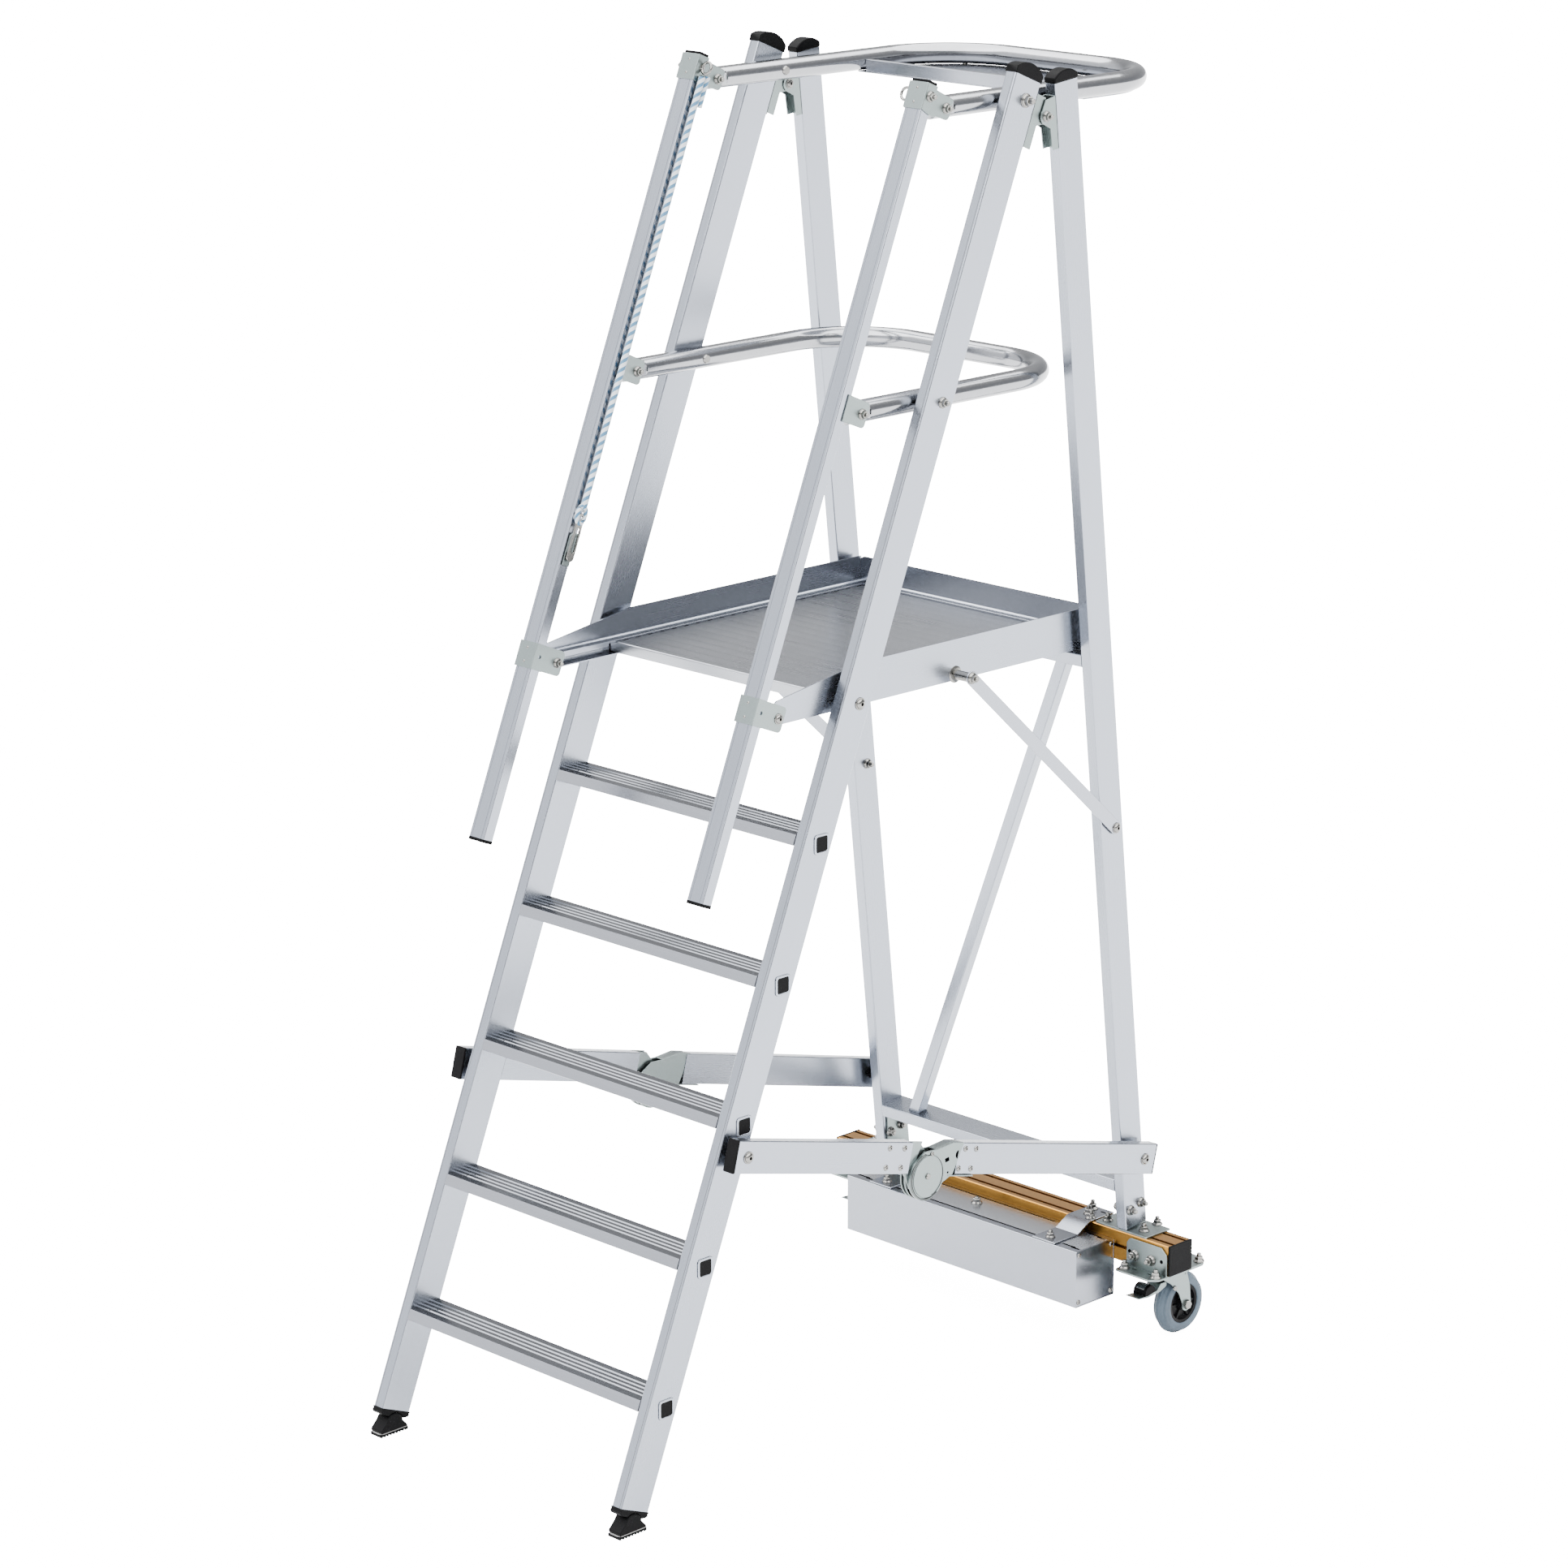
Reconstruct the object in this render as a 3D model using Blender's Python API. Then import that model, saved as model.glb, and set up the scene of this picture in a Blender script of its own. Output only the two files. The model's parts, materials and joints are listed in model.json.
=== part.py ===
"""Folding rolling platform ladder, in metres, +Z up.

The origin is on the floor, under the middle of the open ladder. The climber
faces +Y. Two long front stiles carry the treads; a rear frame on two braked
swivel casters hinges to them near the top. The platform, its rails and the two
entry posts turn with the fold, and so do the side struts and the spreaders.
"""
import math

import bmesh
import bpy
from mathutils import Vector

# ---------------------------------------------------------------- dimensions
GAP = 0.0003                      # clearance between neighbouring pieces

CLIMB_ANGLE = math.radians(68.0)  # front stiles from the floor
REAR_TILT = math.radians(6.5)     # rear stiles from the vertical, leaning forward
STEP_RISE = 0.240
STEP_COUNT = 5

STILE_X = 0.3355                  # outer face of every stile, from the middle
STILE_W = 0.025                   # across the ladder
STILE_D = 0.070                   # along the climbing direction
STILE_WALL = 0.0022
STILE_LOW = -0.187                # stile ends, along it from the first tread
STILE_TOP = 2.440
AXIS_Y = -0.6457                  # stile centre line, level with the first tread
AXIS_Z = 0.2180
BOLT_V = 0.008                    # the bolt line lies this far behind the centre line

TREAD_DROP = 0.0188               # height of a tread's front edge
TREAD_TOP = 0.0194                # tread surface above its tube's centre
TREAD_GROOVES = 4

HINGE_U = 2.3905                  # top hinge, along and behind the front stile
HINGE_V = 0.071
REAR_X = 0.3365
REAR_W = 0.025
REAR_D = 0.060
REAR_FRONT = 0.0284               # rear stile's front face behind the hinge
REAR_LOW = -2.2015
REAR_TOP = 0.0527
REAR_WALL = 0.002
UPPER_BAR = -1.0518               # undersides of the crossbars, below the hinge
LOWER_BAR = -2.1260
BAR_H = 0.025

PLATFORM_U = 1.2925               # platform pivot on the bolt line
KNEE_U = 1.8455
TOP_U = 2.4010
POST_REACH = 0.1772               # pivot to pivot, from a stile to its post
DECK_HALF = 0.2974
BOARD_X = 0.3007                  # outer face of a side board
BOARD_T = 0.0030
LEDGE = 0.0190                    # its shelf over the deck's edge
PLATFORM_REAR = 0.6560            # rear end, behind the platform pivot
DECK_FRONT = -0.0140
DECK_TOP = 0.0093                 # above the platform's pivot
BOARD_LOW = -0.0143               # side board, above and below the pivot
BOARD_HIGH = 0.0625
STUD_Y = 0.2841
STUD_Z = -0.0029
STUD_R = 0.009
STRUT_X = 0.3392
STRUT_T = 0.003
STRUT_W = 0.026
STRUT_FOOT = (0.5347, 1.0475)     # lower strut pivot on the rear frame

TUBE_R = 0.020
RAIL_X = 0.2850                   # a rail's centre line, from the middle
TOP_REAR = 0.4581                 # and its rearmost reach behind its pivot
KNEE_REAR = 0.4092
RAIL_CORNER = 0.165               # bend radius of both rails

POST_X = 0.3065                   # outer face of an entry post
POST_W = 0.040
POST_D = 0.024
POST_FRONT_V = -0.2148
POST_LOW_U = 0.880
POST_TOP_U = 2.3640
BRACKET_WALL = 0.0026

SPREADER_X = 0.3500               # inner face of a spreader bar
SPREADER_W = 0.0255
SPREADER_H = 0.060
SPREADER_WALL = 0.0025
BAR_OVERHANG = 0.0280             # a bar's end beyond its bolt
SPREADER_FRONT = (-0.4725, 0.6535)
SPREADER_REAR = (0.5980, 0.3785)
LOCK_SHARE = 0.4363               # lock pivot's place between the two bolts
LOCK_DROP = 0.0335                # and its depth below the bars' centre line
LOCK_R = 0.046

TRAVERSE_HALF = 0.4445
TRAVERSE_Y = (0.5917, 0.6567)
TRAVERSE_Z = (0.1574, 0.2186)
BOX_HALF = 0.3080
BOX_Y = (0.4800, 0.5914)
BOX_Z = (0.0850, 0.2000)
BOX_WALL = 0.003

CASTER_X = 0.3852
CASTER_Y = 0.6530
CASTER_TRAIL = 0.0410
WHEEL_R = 0.0625
WHEEL_W = 0.0340
FORK_GAP = 0.0390
FORK_T = 0.0030
FORK_TOP = 0.1490

ROUND = 24                        # sides of a small turned piece

COLORS = {
    "aluminium": ((0.78, 0.79, 0.81), 0.32, 1.0),
    "aluminium_deck": ((0.60, 0.61, 0.63), 0.45, 1.0),
    "galvanised": ((0.66, 0.70, 0.69), 0.38, 1.0),
    "gold_anodised": ((0.72, 0.47, 0.16), 0.35, 1.0),
    "black_plastic": ((0.02, 0.02, 0.02), 0.45, 0.0),
    "grey_tyre": ((0.36, 0.41, 0.45), 0.60, 0.0),
    "steel": ((0.62, 0.61, 0.58), 0.30, 1.0),
    "cast_weight": ((0.10, 0.10, 0.11), 0.70, 1.0),
    "rope": ((0.80, 0.85, 0.88), 0.85, 0.0),
}


# ------------------------------------------------------------------- helpers
def clear_scene():
    for obj in list(bpy.data.objects):
        bpy.data.objects.remove(obj, do_unlink=True)


def material(name):
    found = bpy.data.materials.get(name)
    if found:
        return found
    color, roughness, metallic = COLORS[name]
    made = bpy.data.materials.new(name)
    made.use_nodes = True
    shader = made.node_tree.nodes["Principled BSDF"]
    shader.inputs["Base Color"].default_value = (*color, 1.0)
    shader.inputs["Roughness"].default_value = roughness
    shader.inputs["Metallic"].default_value = metallic
    return made


def empty(name, location=(0, 0, 0), tilt=0.0, parent=None):
    """An empty on a joint's axis: pieces that move with it are its children."""
    obj = bpy.data.objects.new(name, None)
    bpy.context.collection.objects.link(obj)
    obj.parent = parent
    obj.location = location
    obj.rotation_euler = (tilt, 0.0, 0.0)
    return obj


def finish(name, bm, slot, parent, smooth=False):
    """Turn a bmesh into the named object."""
    bmesh.ops.remove_doubles(bm, verts=bm.verts, dist=1e-6)
    bmesh.ops.recalc_face_normals(bm, faces=bm.faces)
    mesh = bpy.data.meshes.new(name)
    bm.to_mesh(mesh)
    bm.free()
    mesh.materials.append(material(slot))
    if smooth:
        mesh.shade_smooth()
        mesh.set_sharp_from_angle(angle=math.radians(35))
    obj = bpy.data.objects.new(name, mesh)
    bpy.context.collection.objects.link(obj)
    obj.parent = parent
    return obj


def axis_point(axis, a, b, t):
    """A point with section coordinates a, b and the length coordinate t."""
    if axis == "X":
        return Vector((t, a, b))
    if axis == "Y":
        return Vector((a, t, b))
    return Vector((a, b, t))


def add_extrusion(bm, loops, axis, low, high):
    """Extrude an outline, with its holes, along an axis. Returns its vertices."""
    made = []
    cap_edges = {low: [], high: []}
    outer_caps = {}
    for index, loop in enumerate(loops):
        rings = {}
        for t in (low, high):
            rings[t] = [bm.verts.new(axis_point(axis, a, b, t)) for a, b in loop]
            made += rings[t]
        count = len(loop)
        for i in range(count):
            j = (i + 1) % count
            bm.faces.new((rings[low][i], rings[low][j], rings[high][j], rings[high][i]))
        for t in (low, high):
            cap_edges[t] += [bm.edges.get((rings[t][i], rings[t][(i + 1) % count])) for i in range(count)]
        if index == 0:
            outer_caps = rings
    for t in (low, high):
        if len(loops) == 1:
            bm.faces.new(outer_caps[t])
        else:
            bmesh.ops.triangle_fill(bm, edges=cap_edges[t], use_beauty=True)
    return made


def extrusion(name, loops, axis, low, high, slot, parent, smooth=False):
    bm = bmesh.new()
    add_extrusion(bm, loops, axis, low, high)
    return finish(name, bm, slot, parent, smooth)


def rectangle(a0, a1, b0, b1):
    return [(a0, b0), (a1, b0), (a1, b1), (a0, b1)]


def hollow(a0, a1, b0, b1, wall):
    """A rectangular tube's two outlines."""
    return [rectangle(a0, a1, b0, b1), rectangle(a0 + wall, a1 - wall, b0 + wall, b1 - wall)]


def arc(cx, cy, radius, start, end, steps):
    """Points on an arc, both ends included; angles in degrees."""
    angles = [math.radians(start + (end - start) * i / steps) for i in range(steps + 1)]
    return [(cx + radius * math.cos(a), cy + radius * math.sin(a)) for a in angles]


def circle(cx, cy, radius, sides=ROUND):
    return arc(cx, cy, radius, 0, 360, sides)[:-1]


def sided(side, inner, outer):
    """An X range on one side of the ladder, lowest first."""
    return (inner, outer) if side > 0 else (-outer, -inner)


def side_name(side):
    return "right" if side > 0 else "left"


def boolean(target, tool, operation):
    """Join or cut with a hidden tool object."""
    tool.hide_render = True
    tool.display_type = "WIRE"
    modifier = target.modifiers.new(tool.name, "BOOLEAN")
    modifier.operation = operation
    modifier.solver = "EXACT"
    modifier.object = tool


def climb_point(u, v):
    """World (y, z) of a point u along and v behind the stile's centre line."""
    c, s = math.cos(CLIMB_ANGLE), math.sin(CLIMB_ANGLE)
    return AXIS_Y + u * c + v * s, AXIS_Z + u * s - v * c


# ------------------------------------------------------------ climbing frame
def tread_outline():
    """Tread section around its tube: a grooved deck over a square core."""
    slope = 1.0 / math.tan(CLIMB_ANGLE)
    rear_top = STILE_D / math.sin(CLIMB_ANGLE) - 0.0386
    low = TREAD_TOP - TREAD_DROP
    points = [(-0.0386 - TREAD_DROP * slope, low), (-0.0386, TREAD_TOP)]
    pitch = 0.0125
    first = -0.0386 + 0.017
    for i in range(TREAD_GROOVES):
        y = first + i * pitch
        points += [(y, TREAD_TOP), (y, TREAD_TOP - 0.0016)]
        points += [(y + 0.0042, TREAD_TOP - 0.0016), (y + 0.0042, TREAD_TOP)]
    points += [(rear_top, TREAD_TOP), (rear_top - TREAD_DROP * slope, low)]
    points += [(0.0145, low), (0.0125, -0.0130), (-0.0125, -0.0130), (-0.0145, low)]
    return points


def tread_core():
    """The hollow inside a tread."""
    top = TREAD_TOP - 0.0045
    low = TREAD_TOP - TREAD_DROP + 0.0022
    return [(-0.0390, low), (-0.0365, top), (0.0320, top), (0.0255, low),
            (0.0118, low), (0.0104, -0.0108), (-0.0104, -0.0108), (-0.0118, low)]


def make_climbing_frame():
    ladder = empty("ladder", (0, AXIS_Y, AXIS_Z), CLIMB_ANGLE - math.pi / 2)
    half = STILE_D / 2
    for side in (-1, 1):
        word = side_name(side)
        x0, x1 = sided(side, STILE_X - STILE_W, STILE_X)
        extrusion("stile_" + word, hollow(x0, x1, -half, half, STILE_WALL), "Z",
                  STILE_LOW, STILE_TOP, "aluminium", ladder)
        crown = [(-0.0362, 0.0), (-0.0362, 0.012)]
        crown += arc(0.0, -0.0286, 0.0550, 131, 49, 10)
        crown += [(0.0362, 0.012), (0.0362, 0.0)]
        crown = [(v, STILE_TOP + GAP + u) for v, u in crown]
        extrusion("top_cap_" + word, [crown], "X", x0 - 0.001, x1 + 0.001, "black_plastic", ladder)
        make_foot_socket(word, x0, x1, ladder)
        make_front_hinge(word, side, ladder)
    for k in range(STEP_COUNT):
        y, z = climb_point(k * STEP_RISE / math.sin(CLIMB_ANGLE), 0.0)
        y += BOLT_V * math.sin(CLIMB_ANGLE)
        z -= BOLT_V * math.cos(CLIMB_ANGLE)
        tread = extrusion("step_%d" % (k + 1), [tread_outline(), tread_core()], "X",
                          -(STILE_X - STILE_W) + GAP, STILE_X - STILE_W - GAP, "aluminium", None)
        tread.location = (0, y, z)


FOOT_V = 0.0036                   # foot pivot, from the stile's centre line
FOOT_U = -0.2121


def make_foot_socket(word, x0, x1, ladder):
    """End plug of a stile, hollowed round the turning foot."""
    top = STILE_LOW - GAP
    rim = arc(FOOT_V, FOOT_U, 0.0212, 38, 142, 10)
    outline = [(-0.0362, top), (-0.0362, top - 0.003), (-0.0330, top - 0.0115)]
    outline += rim[::-1]
    outline += [(0.0300, top - 0.0100), (0.0362, top - 0.003), (0.0362, top)]
    extrusion("foot_socket_" + word, [outline], "X", x0 - 0.001, x1 + 0.001, "black_plastic", ladder)


def make_front_hinge(word, side, ladder):
    """Channel on the stile's rear face, with the hinge pin through its cheeks."""
    base = STILE_D / 2 + GAP
    low, high = HINGE_U - 0.067, HINGE_U + 0.031
    cheek = [(base, low), (base + 0.020, low), (base + 0.020, HINGE_U - 0.030),
             (base + 0.030, HINGE_U - 0.018)]
    cheek += arc(HINGE_V, HINGE_U, 0.013, -50, 50, 8)
    cheek += [(base + 0.028, high), (base, high)]
    middle = STILE_X - STILE_W / 2
    x0, x1 = sided(side, middle - 0.0100, middle + 0.0100)
    body = extrusion("front_hinge_bracket_" + word, [cheek], "X", x0, x1, "galvanised", ladder)
    slot = extrusion("hinge_slot_" + word, [rectangle(base + 0.003, 0.2, low - 0.01, high + 0.01)],
                     "X", x0 + 0.003, x1 - 0.003, "galvanised", ladder)
    boolean(body, slot, "DIFFERENCE")
    pin = extrusion("hinge_pin_" + word, [circle(HINGE_V, HINGE_U, 0.0050)], "X",
                    middle * side - 0.0150, middle * side + 0.0150, "steel", ladder, True)
    boolean(body, pin, "UNION")


def make_feet():
    for side in (-1, 1):
        y, z = climb_point(FOOT_U, FOOT_V)
        pivot = empty("axis_foot_" + side_name(side), (0, y, z))
        teeth = 8
        front, rear = -0.0340, 0.0320
        pitch = (rear - front) / teeth
        outline = []
        for i in range(teeth):
            start = front + i * pitch
            outline += [(start, -z), (start + pitch * 0.55, -z)]
            if i < teeth - 1:
                outline += [(start + pitch * 0.65, -z + 0.0028), (start + pitch * 0.90, -z + 0.0028)]
        outline += [(rear, -z + 0.0020), (rear, -0.0088)]
        outline += arc(0, 0, 0.0200, 0, 180, 12)
        outline += [(front, -0.0060)]
        x0, x1 = sided(side, STILE_X - STILE_W - 0.003, STILE_X + 0.003)
        extrusion("foot_" + side_name(side), [outline], "X", x0, x1, "black_plastic", pivot)


# ---------------------------------------------------------------- rear frame
def make_rear_frame():
    y, z = climb_point(HINGE_U, HINGE_V)
    fold = empty("axis_fold", (0, y, z), REAR_TILT)
    upright = empty("axis_fold_upright", (0, y, z))
    front, back = REAR_FRONT, REAR_FRONT + REAR_D
    inner = REAR_X - REAR_W
    for side in (-1, 1):
        word = side_name(side)
        x0, x1 = sided(side, inner, REAR_X)
        extrusion("rear_stile_" + word, hollow(x0, x1, front, back, REAR_WALL), "Z",
                  REAR_LOW, REAR_TOP, "aluminium", fold)
        middle = (front + back) / 2
        crown = [(front - 0.0012, 0.0), (front - 0.0012, 0.010)]
        crown += arc(middle, -0.0235, 0.0450, 130, 50, 10)
        crown += [(back + 0.0012, 0.010), (back + 0.0012, 0.0)]
        crown = [(w, REAR_TOP + GAP + s) for w, s in crown]
        extrusion("rear_top_cap_" + word, [crown], "X", x0 - 0.001, x1 + 0.001, "black_plastic", fold)
        make_rear_hinge(word, side, fold)
    span = inner - GAP
    for name, s in (("upper_crossbar", UPPER_BAR), ("lower_crossbar", LOWER_BAR)):
        extrusion(name, hollow(front, back, s, s + BAR_H, REAR_WALL), "X", -span, span, "aluminium", fold)
    make_diagonal(fold)
    make_base(upright)


def make_rear_hinge(word, side, fold):
    """Channel on the rear stile's front face, outside the front channel's cheeks."""
    face = REAR_FRONT - GAP
    low, high = -0.064, 0.032
    cheek = [(face, high), (-0.003, high - 0.006)]
    cheek += arc(0, 0, 0.0135, 120, 235, 8)
    cheek += [(0.010, -0.026), (0.012, low), (face, low)]
    x0, x1 = sided(side, REAR_X - REAR_W - 0.0012, REAR_X + 0.0003)
    bore = circle(0, 0, 0.00525)
    body = extrusion("rear_hinge_bracket_" + word, [cheek, bore], "X", x0, x1, "galvanised", fold)
    slot = extrusion("rear_hinge_slot_" + word, [rectangle(-0.05, face - 0.003, low - 0.01, high + 0.01)],
                     "X", x0 + 0.0024, x1 - 0.0024, "galvanised", fold)
    boolean(body, slot, "DIFFERENCE")


def make_diagonal(fold):
    """Brace from the lower left of the rear frame to its upper right."""
    low_s = LOWER_BAR + BAR_H + GAP
    high_s = UPPER_BAR - GAP
    low_x, high_x = -0.2490, 0.2360
    width = 0.0270
    near, far = REAR_FRONT + 0.012, REAR_FRONT + 0.038
    slant = (high_x - low_x) / (high_s - low_s)
    wall = 0.002
    bm = bmesh.new()
    outer = [(low_x, near), (low_x + width, near), (low_x + width, far), (low_x, far)]
    inner = [(low_x + wall, near + wall), (low_x + width - wall, near + wall),
             (low_x + width - wall, far - wall), (low_x + wall, far - wall)]
    made = add_extrusion(bm, [outer, inner], "Z", low_s, high_s)
    for vert in made:
        vert.co.x += (vert.co.z - low_s) * slant
    finish("diagonal_brace", bm, "aluminium", fold)


def relative(points, origin):
    """World (y, z) points as seen from an unrotated empty at origin."""
    return [(y - origin[0], z - origin[1]) for y, z in points]


def traverse_outline():
    """Square beam with two grooves along the top and one along each side."""
    y0, y1 = TRAVERSE_Y
    z0, z1 = TRAVERSE_Z
    depth, half = 0.006, 0.0035
    points = [(y0, z0), (y1, z0)]
    middle = (z0 + z1) / 2
    points += [(y1, middle - half), (y1 - depth, middle - half)]
    points += [(y1 - depth, middle + half), (y1, middle + half)]
    points += [(y1, z1)]
    for y in (y1 - 0.0145, y0 + 0.0145):
        points += [(y + half, z1), (y + half, z1 - depth), (y - half, z1 - depth), (y - half, z1)]
    points += [(y0, z1)]
    points += [(y0, middle + half), (y0 + depth, middle + half)]
    points += [(y0 + depth, middle - half), (y0, middle - half)]
    return points


def make_base(upright):
    """Traverse beam, ballast box, straps, shoes and caster mounts."""
    origin = upright.location.y, upright.location.z
    y0, y1 = TRAVERSE_Y
    z0, z1 = TRAVERSE_Z
    core = rectangle(y0 + 0.010, y1 - 0.010, z0 + 0.010, z1 - 0.010)
    extrusion("traverse_beam", [relative(traverse_outline(), origin), relative(core, origin)], "X",
              -TRAVERSE_HALF, TRAVERSE_HALF, "gold_anodised", upright)
    for side in (-1, 1):
        make_base_side(side, upright, origin)
    make_ballast(upright, origin)


def make_base_side(side, upright, origin):
    word = side_name(side)
    y0, y1 = TRAVERSE_Y
    z0, z1 = TRAVERSE_Z
    x0, x1 = sided(side, TRAVERSE_HALF + GAP, TRAVERSE_HALF + 0.0045)
    cap = rectangle(y0 - 0.0005, y1 + 0.0005, z0 - 0.0002, z1 + 0.0005)
    extrusion("traverse_cap_" + word, [relative(cap, origin)], "X", x0, x1, "black_plastic", upright)
    base = z1 + GAP
    foot = rectangle(y0 + 0.0005, y1 + 0.0080, base, base + 0.0034)
    flange = extrusion("stile_shoe_" + word, [relative(foot, origin)], "X", *sided(side, 0.2980, 0.3880),
                       "galvanised", upright)
    leg_outline = [(y0 + 0.010, base + 0.0010), (y1 - 0.004, base + 0.0010), (y1 - 0.012, base + 0.0700),
                   (y0 + 0.006, base + 0.0700)]
    leg = extrusion("shoe_leg_" + word, [relative(leg_outline, origin)], "X",
                    *sided(side, REAR_X - REAR_W - 0.0045, REAR_X - REAR_W - GAP), "galvanised", upright)
    boolean(flange, leg, "UNION")
    box_top = BOX_Z[1] + GAP
    strap = [(BOX_Y[0] + 0.003, box_top), (BOX_Y[0] + 0.072, box_top), (y0 - 0.004, base), (y1, base),
             (y1, base + 0.003), (y0 - 0.005, base + 0.003), (BOX_Y[0] + 0.071, box_top + 0.003),
             (BOX_Y[0] + 0.003, box_top + 0.003)]
    extrusion("box_strap_" + word, [relative(strap, origin)], "X", *sided(side, 0.1910, 0.2490),
              "aluminium", upright)
    make_caster_mount(side, upright, origin)
    make_caster(side)


def make_caster_mount(side, upright, origin):
    """Angle plate: upright leg on the beam's front face, flat leg under it."""
    y0, y1 = TRAVERSE_Y
    z0, z1 = TRAVERSE_Z
    top = z0 - GAP - 0.0002
    plate_t, caster_t = 0.0035, 0.0045
    outline = [(y0 - GAP, z1 - 0.004), (y0 - GAP - plate_t, z1 - 0.004), (y0 - GAP - plate_t, top),
               (0.5520, top), (0.5520, top - plate_t), (CASTER_Y - 0.055, top - plate_t),
               (CASTER_Y - 0.055, top - plate_t - caster_t), (CASTER_Y + 0.055, top - plate_t - caster_t),
               (CASTER_Y + 0.055, top - plate_t), (0.7200, top - plate_t), (0.7200, top),
               (y0 - GAP, top)]
    extrusion("caster_mount_" + side_name(side), [relative(outline, origin)], "X",
              *sided(side, 0.3420, 0.4440), "galvanised", upright)


def make_ballast(upright, origin):
    """Sheet-metal box, open at its two ends' lids, round a steel weight."""
    y0, y1 = BOX_Y
    z0, z1 = BOX_Z
    shell = hollow(y0, y1, z0, z1, BOX_WALL)
    extrusion("ballast_box", [relative(loop, origin) for loop in shell], "X",
              -BOX_HALF, BOX_HALF, "aluminium", upright)
    inner = BOX_WALL + GAP
    extrusion("ballast_weight", [relative(rectangle(y0 + inner, y1 - inner, z0 + inner, z0 + 0.060), origin)],
              "X", -BOX_HALF + 0.004, BOX_HALF - 0.004, "cast_weight", upright)


# ------------------------------------------------------------------- casters
def make_caster(side):
    word = side_name(side)
    swivel = empty("axis_swivel_" + word, (side * CASTER_X, CASTER_Y, 0))
    make_fork(word, swivel)
    hub = empty("axis_wheel_" + word, (0, CASTER_TRAIL, WHEEL_R), parent=swivel)
    make_wheel(word, hub)
    axle = extrusion("axle_" + word, [circle(0, 0, 0.0060)], "X",
                     -FORK_GAP / 2 - FORK_T - 0.007, FORK_GAP / 2 + FORK_T + 0.007, "steel", swivel, True)
    axle.location = hub.location
    make_pedal(word, swivel)


def make_fork(word, swivel):
    """Swivel head with two legs that carry the axle."""
    half = FORK_GAP / 2
    leg = [(-0.034, FORK_TOP - 0.010), (0.030, FORK_TOP - 0.010)]
    leg += arc(CASTER_TRAIL, WHEEL_R, 0.0130, 20, -150, 8)
    leg += [(0.0120, 0.0880), (-0.0280, 0.1180)]
    head = extrusion("caster_fork_" + word, [circle(0, 0, 0.0360, 32)], "Z",
                     FORK_TOP - 0.0135, FORK_TOP - GAP - 0.0002, "galvanised", swivel, True)
    for sign in (-1, 1):
        low = half if sign > 0 else -half - FORK_T
        cheek = extrusion("fork_leg_%s_%d" % (word, sign), [leg, circle(CASTER_TRAIL, WHEEL_R, 0.0058)],
                          "X", low, low + FORK_T, "galvanised", swivel)
        boolean(head, cheek, "UNION")
    cap = extrusion("fork_bridge_" + word, [rectangle(-0.0340, 0.0300, FORK_TOP - 0.0130, FORK_TOP - 0.0095)],
                    "X", -half - FORK_T, half + FORK_T, "galvanised", swivel)
    boolean(head, cap, "UNION")
    bore = extrusion("fork_bore_" + word, [circle(CASTER_TRAIL, WHEEL_R, 0.0063)], "X",
                     -0.06, 0.06, "galvanised", swivel)
    boolean(head, bore, "DIFFERENCE")


def make_wheel(word, hub):
    """Turned wheel: bore, hub, web and a rounded tyre."""
    half = WHEEL_W / 2
    profile = [(0.0063, -half + 0.0005), (0.0150, -half + 0.0005), (0.0170, -0.0080), (0.0330, -0.0080),
               (0.0350, -half + 0.0030), (0.0400, -half + 0.0010), (0.0520, -half)]
    profile += [(WHEEL_R - 0.0105 + 0.0105 * math.cos(math.radians(a)),
                 math.sin(math.radians(a)) * half * 0.97) for a in (-72, -50, -28, -9)]
    profile += [(r, -x) for r, x in reversed(profile)]
    sides = 32
    bm = bmesh.new()
    rings = []
    for k in range(sides):
        angle = 2 * math.pi * k / sides
        c, s = math.cos(angle), math.sin(angle)
        rings.append([bm.verts.new((x, r * c, r * s)) for r, x in profile])
    count = len(profile)
    for k in range(sides):
        here, after = rings[k], rings[(k + 1) % sides]
        for i in range(count):
            j = (i + 1) % count
            bm.faces.new((here[i], here[j], after[j], after[i]))
    finish("wheel_" + word, bm, "grey_tyre", hub, True)


PEDAL_Y = -0.0200                 # brake pedal's pivot, ahead of the swivel axis
PEDAL_Z = 0.1180
PEDAL_REACH = -0.0960


def make_pedal(word, swivel):
    pivot = empty("axis_pedal_" + word, (0, PEDAL_Y, PEDAL_Z), parent=swivel)
    tip = PEDAL_REACH - PEDAL_Y
    outline = [(0.008, 0.005), (0.008, -0.005), (-0.012, -0.007), (-0.044, -0.012), (tip, -0.005),
               (tip, -0.002), (-0.056, -0.006), (-0.051, 0.007), (-0.036, 0.012), (-0.018, 0.009)]
    extrusion("brake_pedal_" + word, [outline], "X", -0.0165, 0.0165, "black_plastic", pivot)


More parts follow.
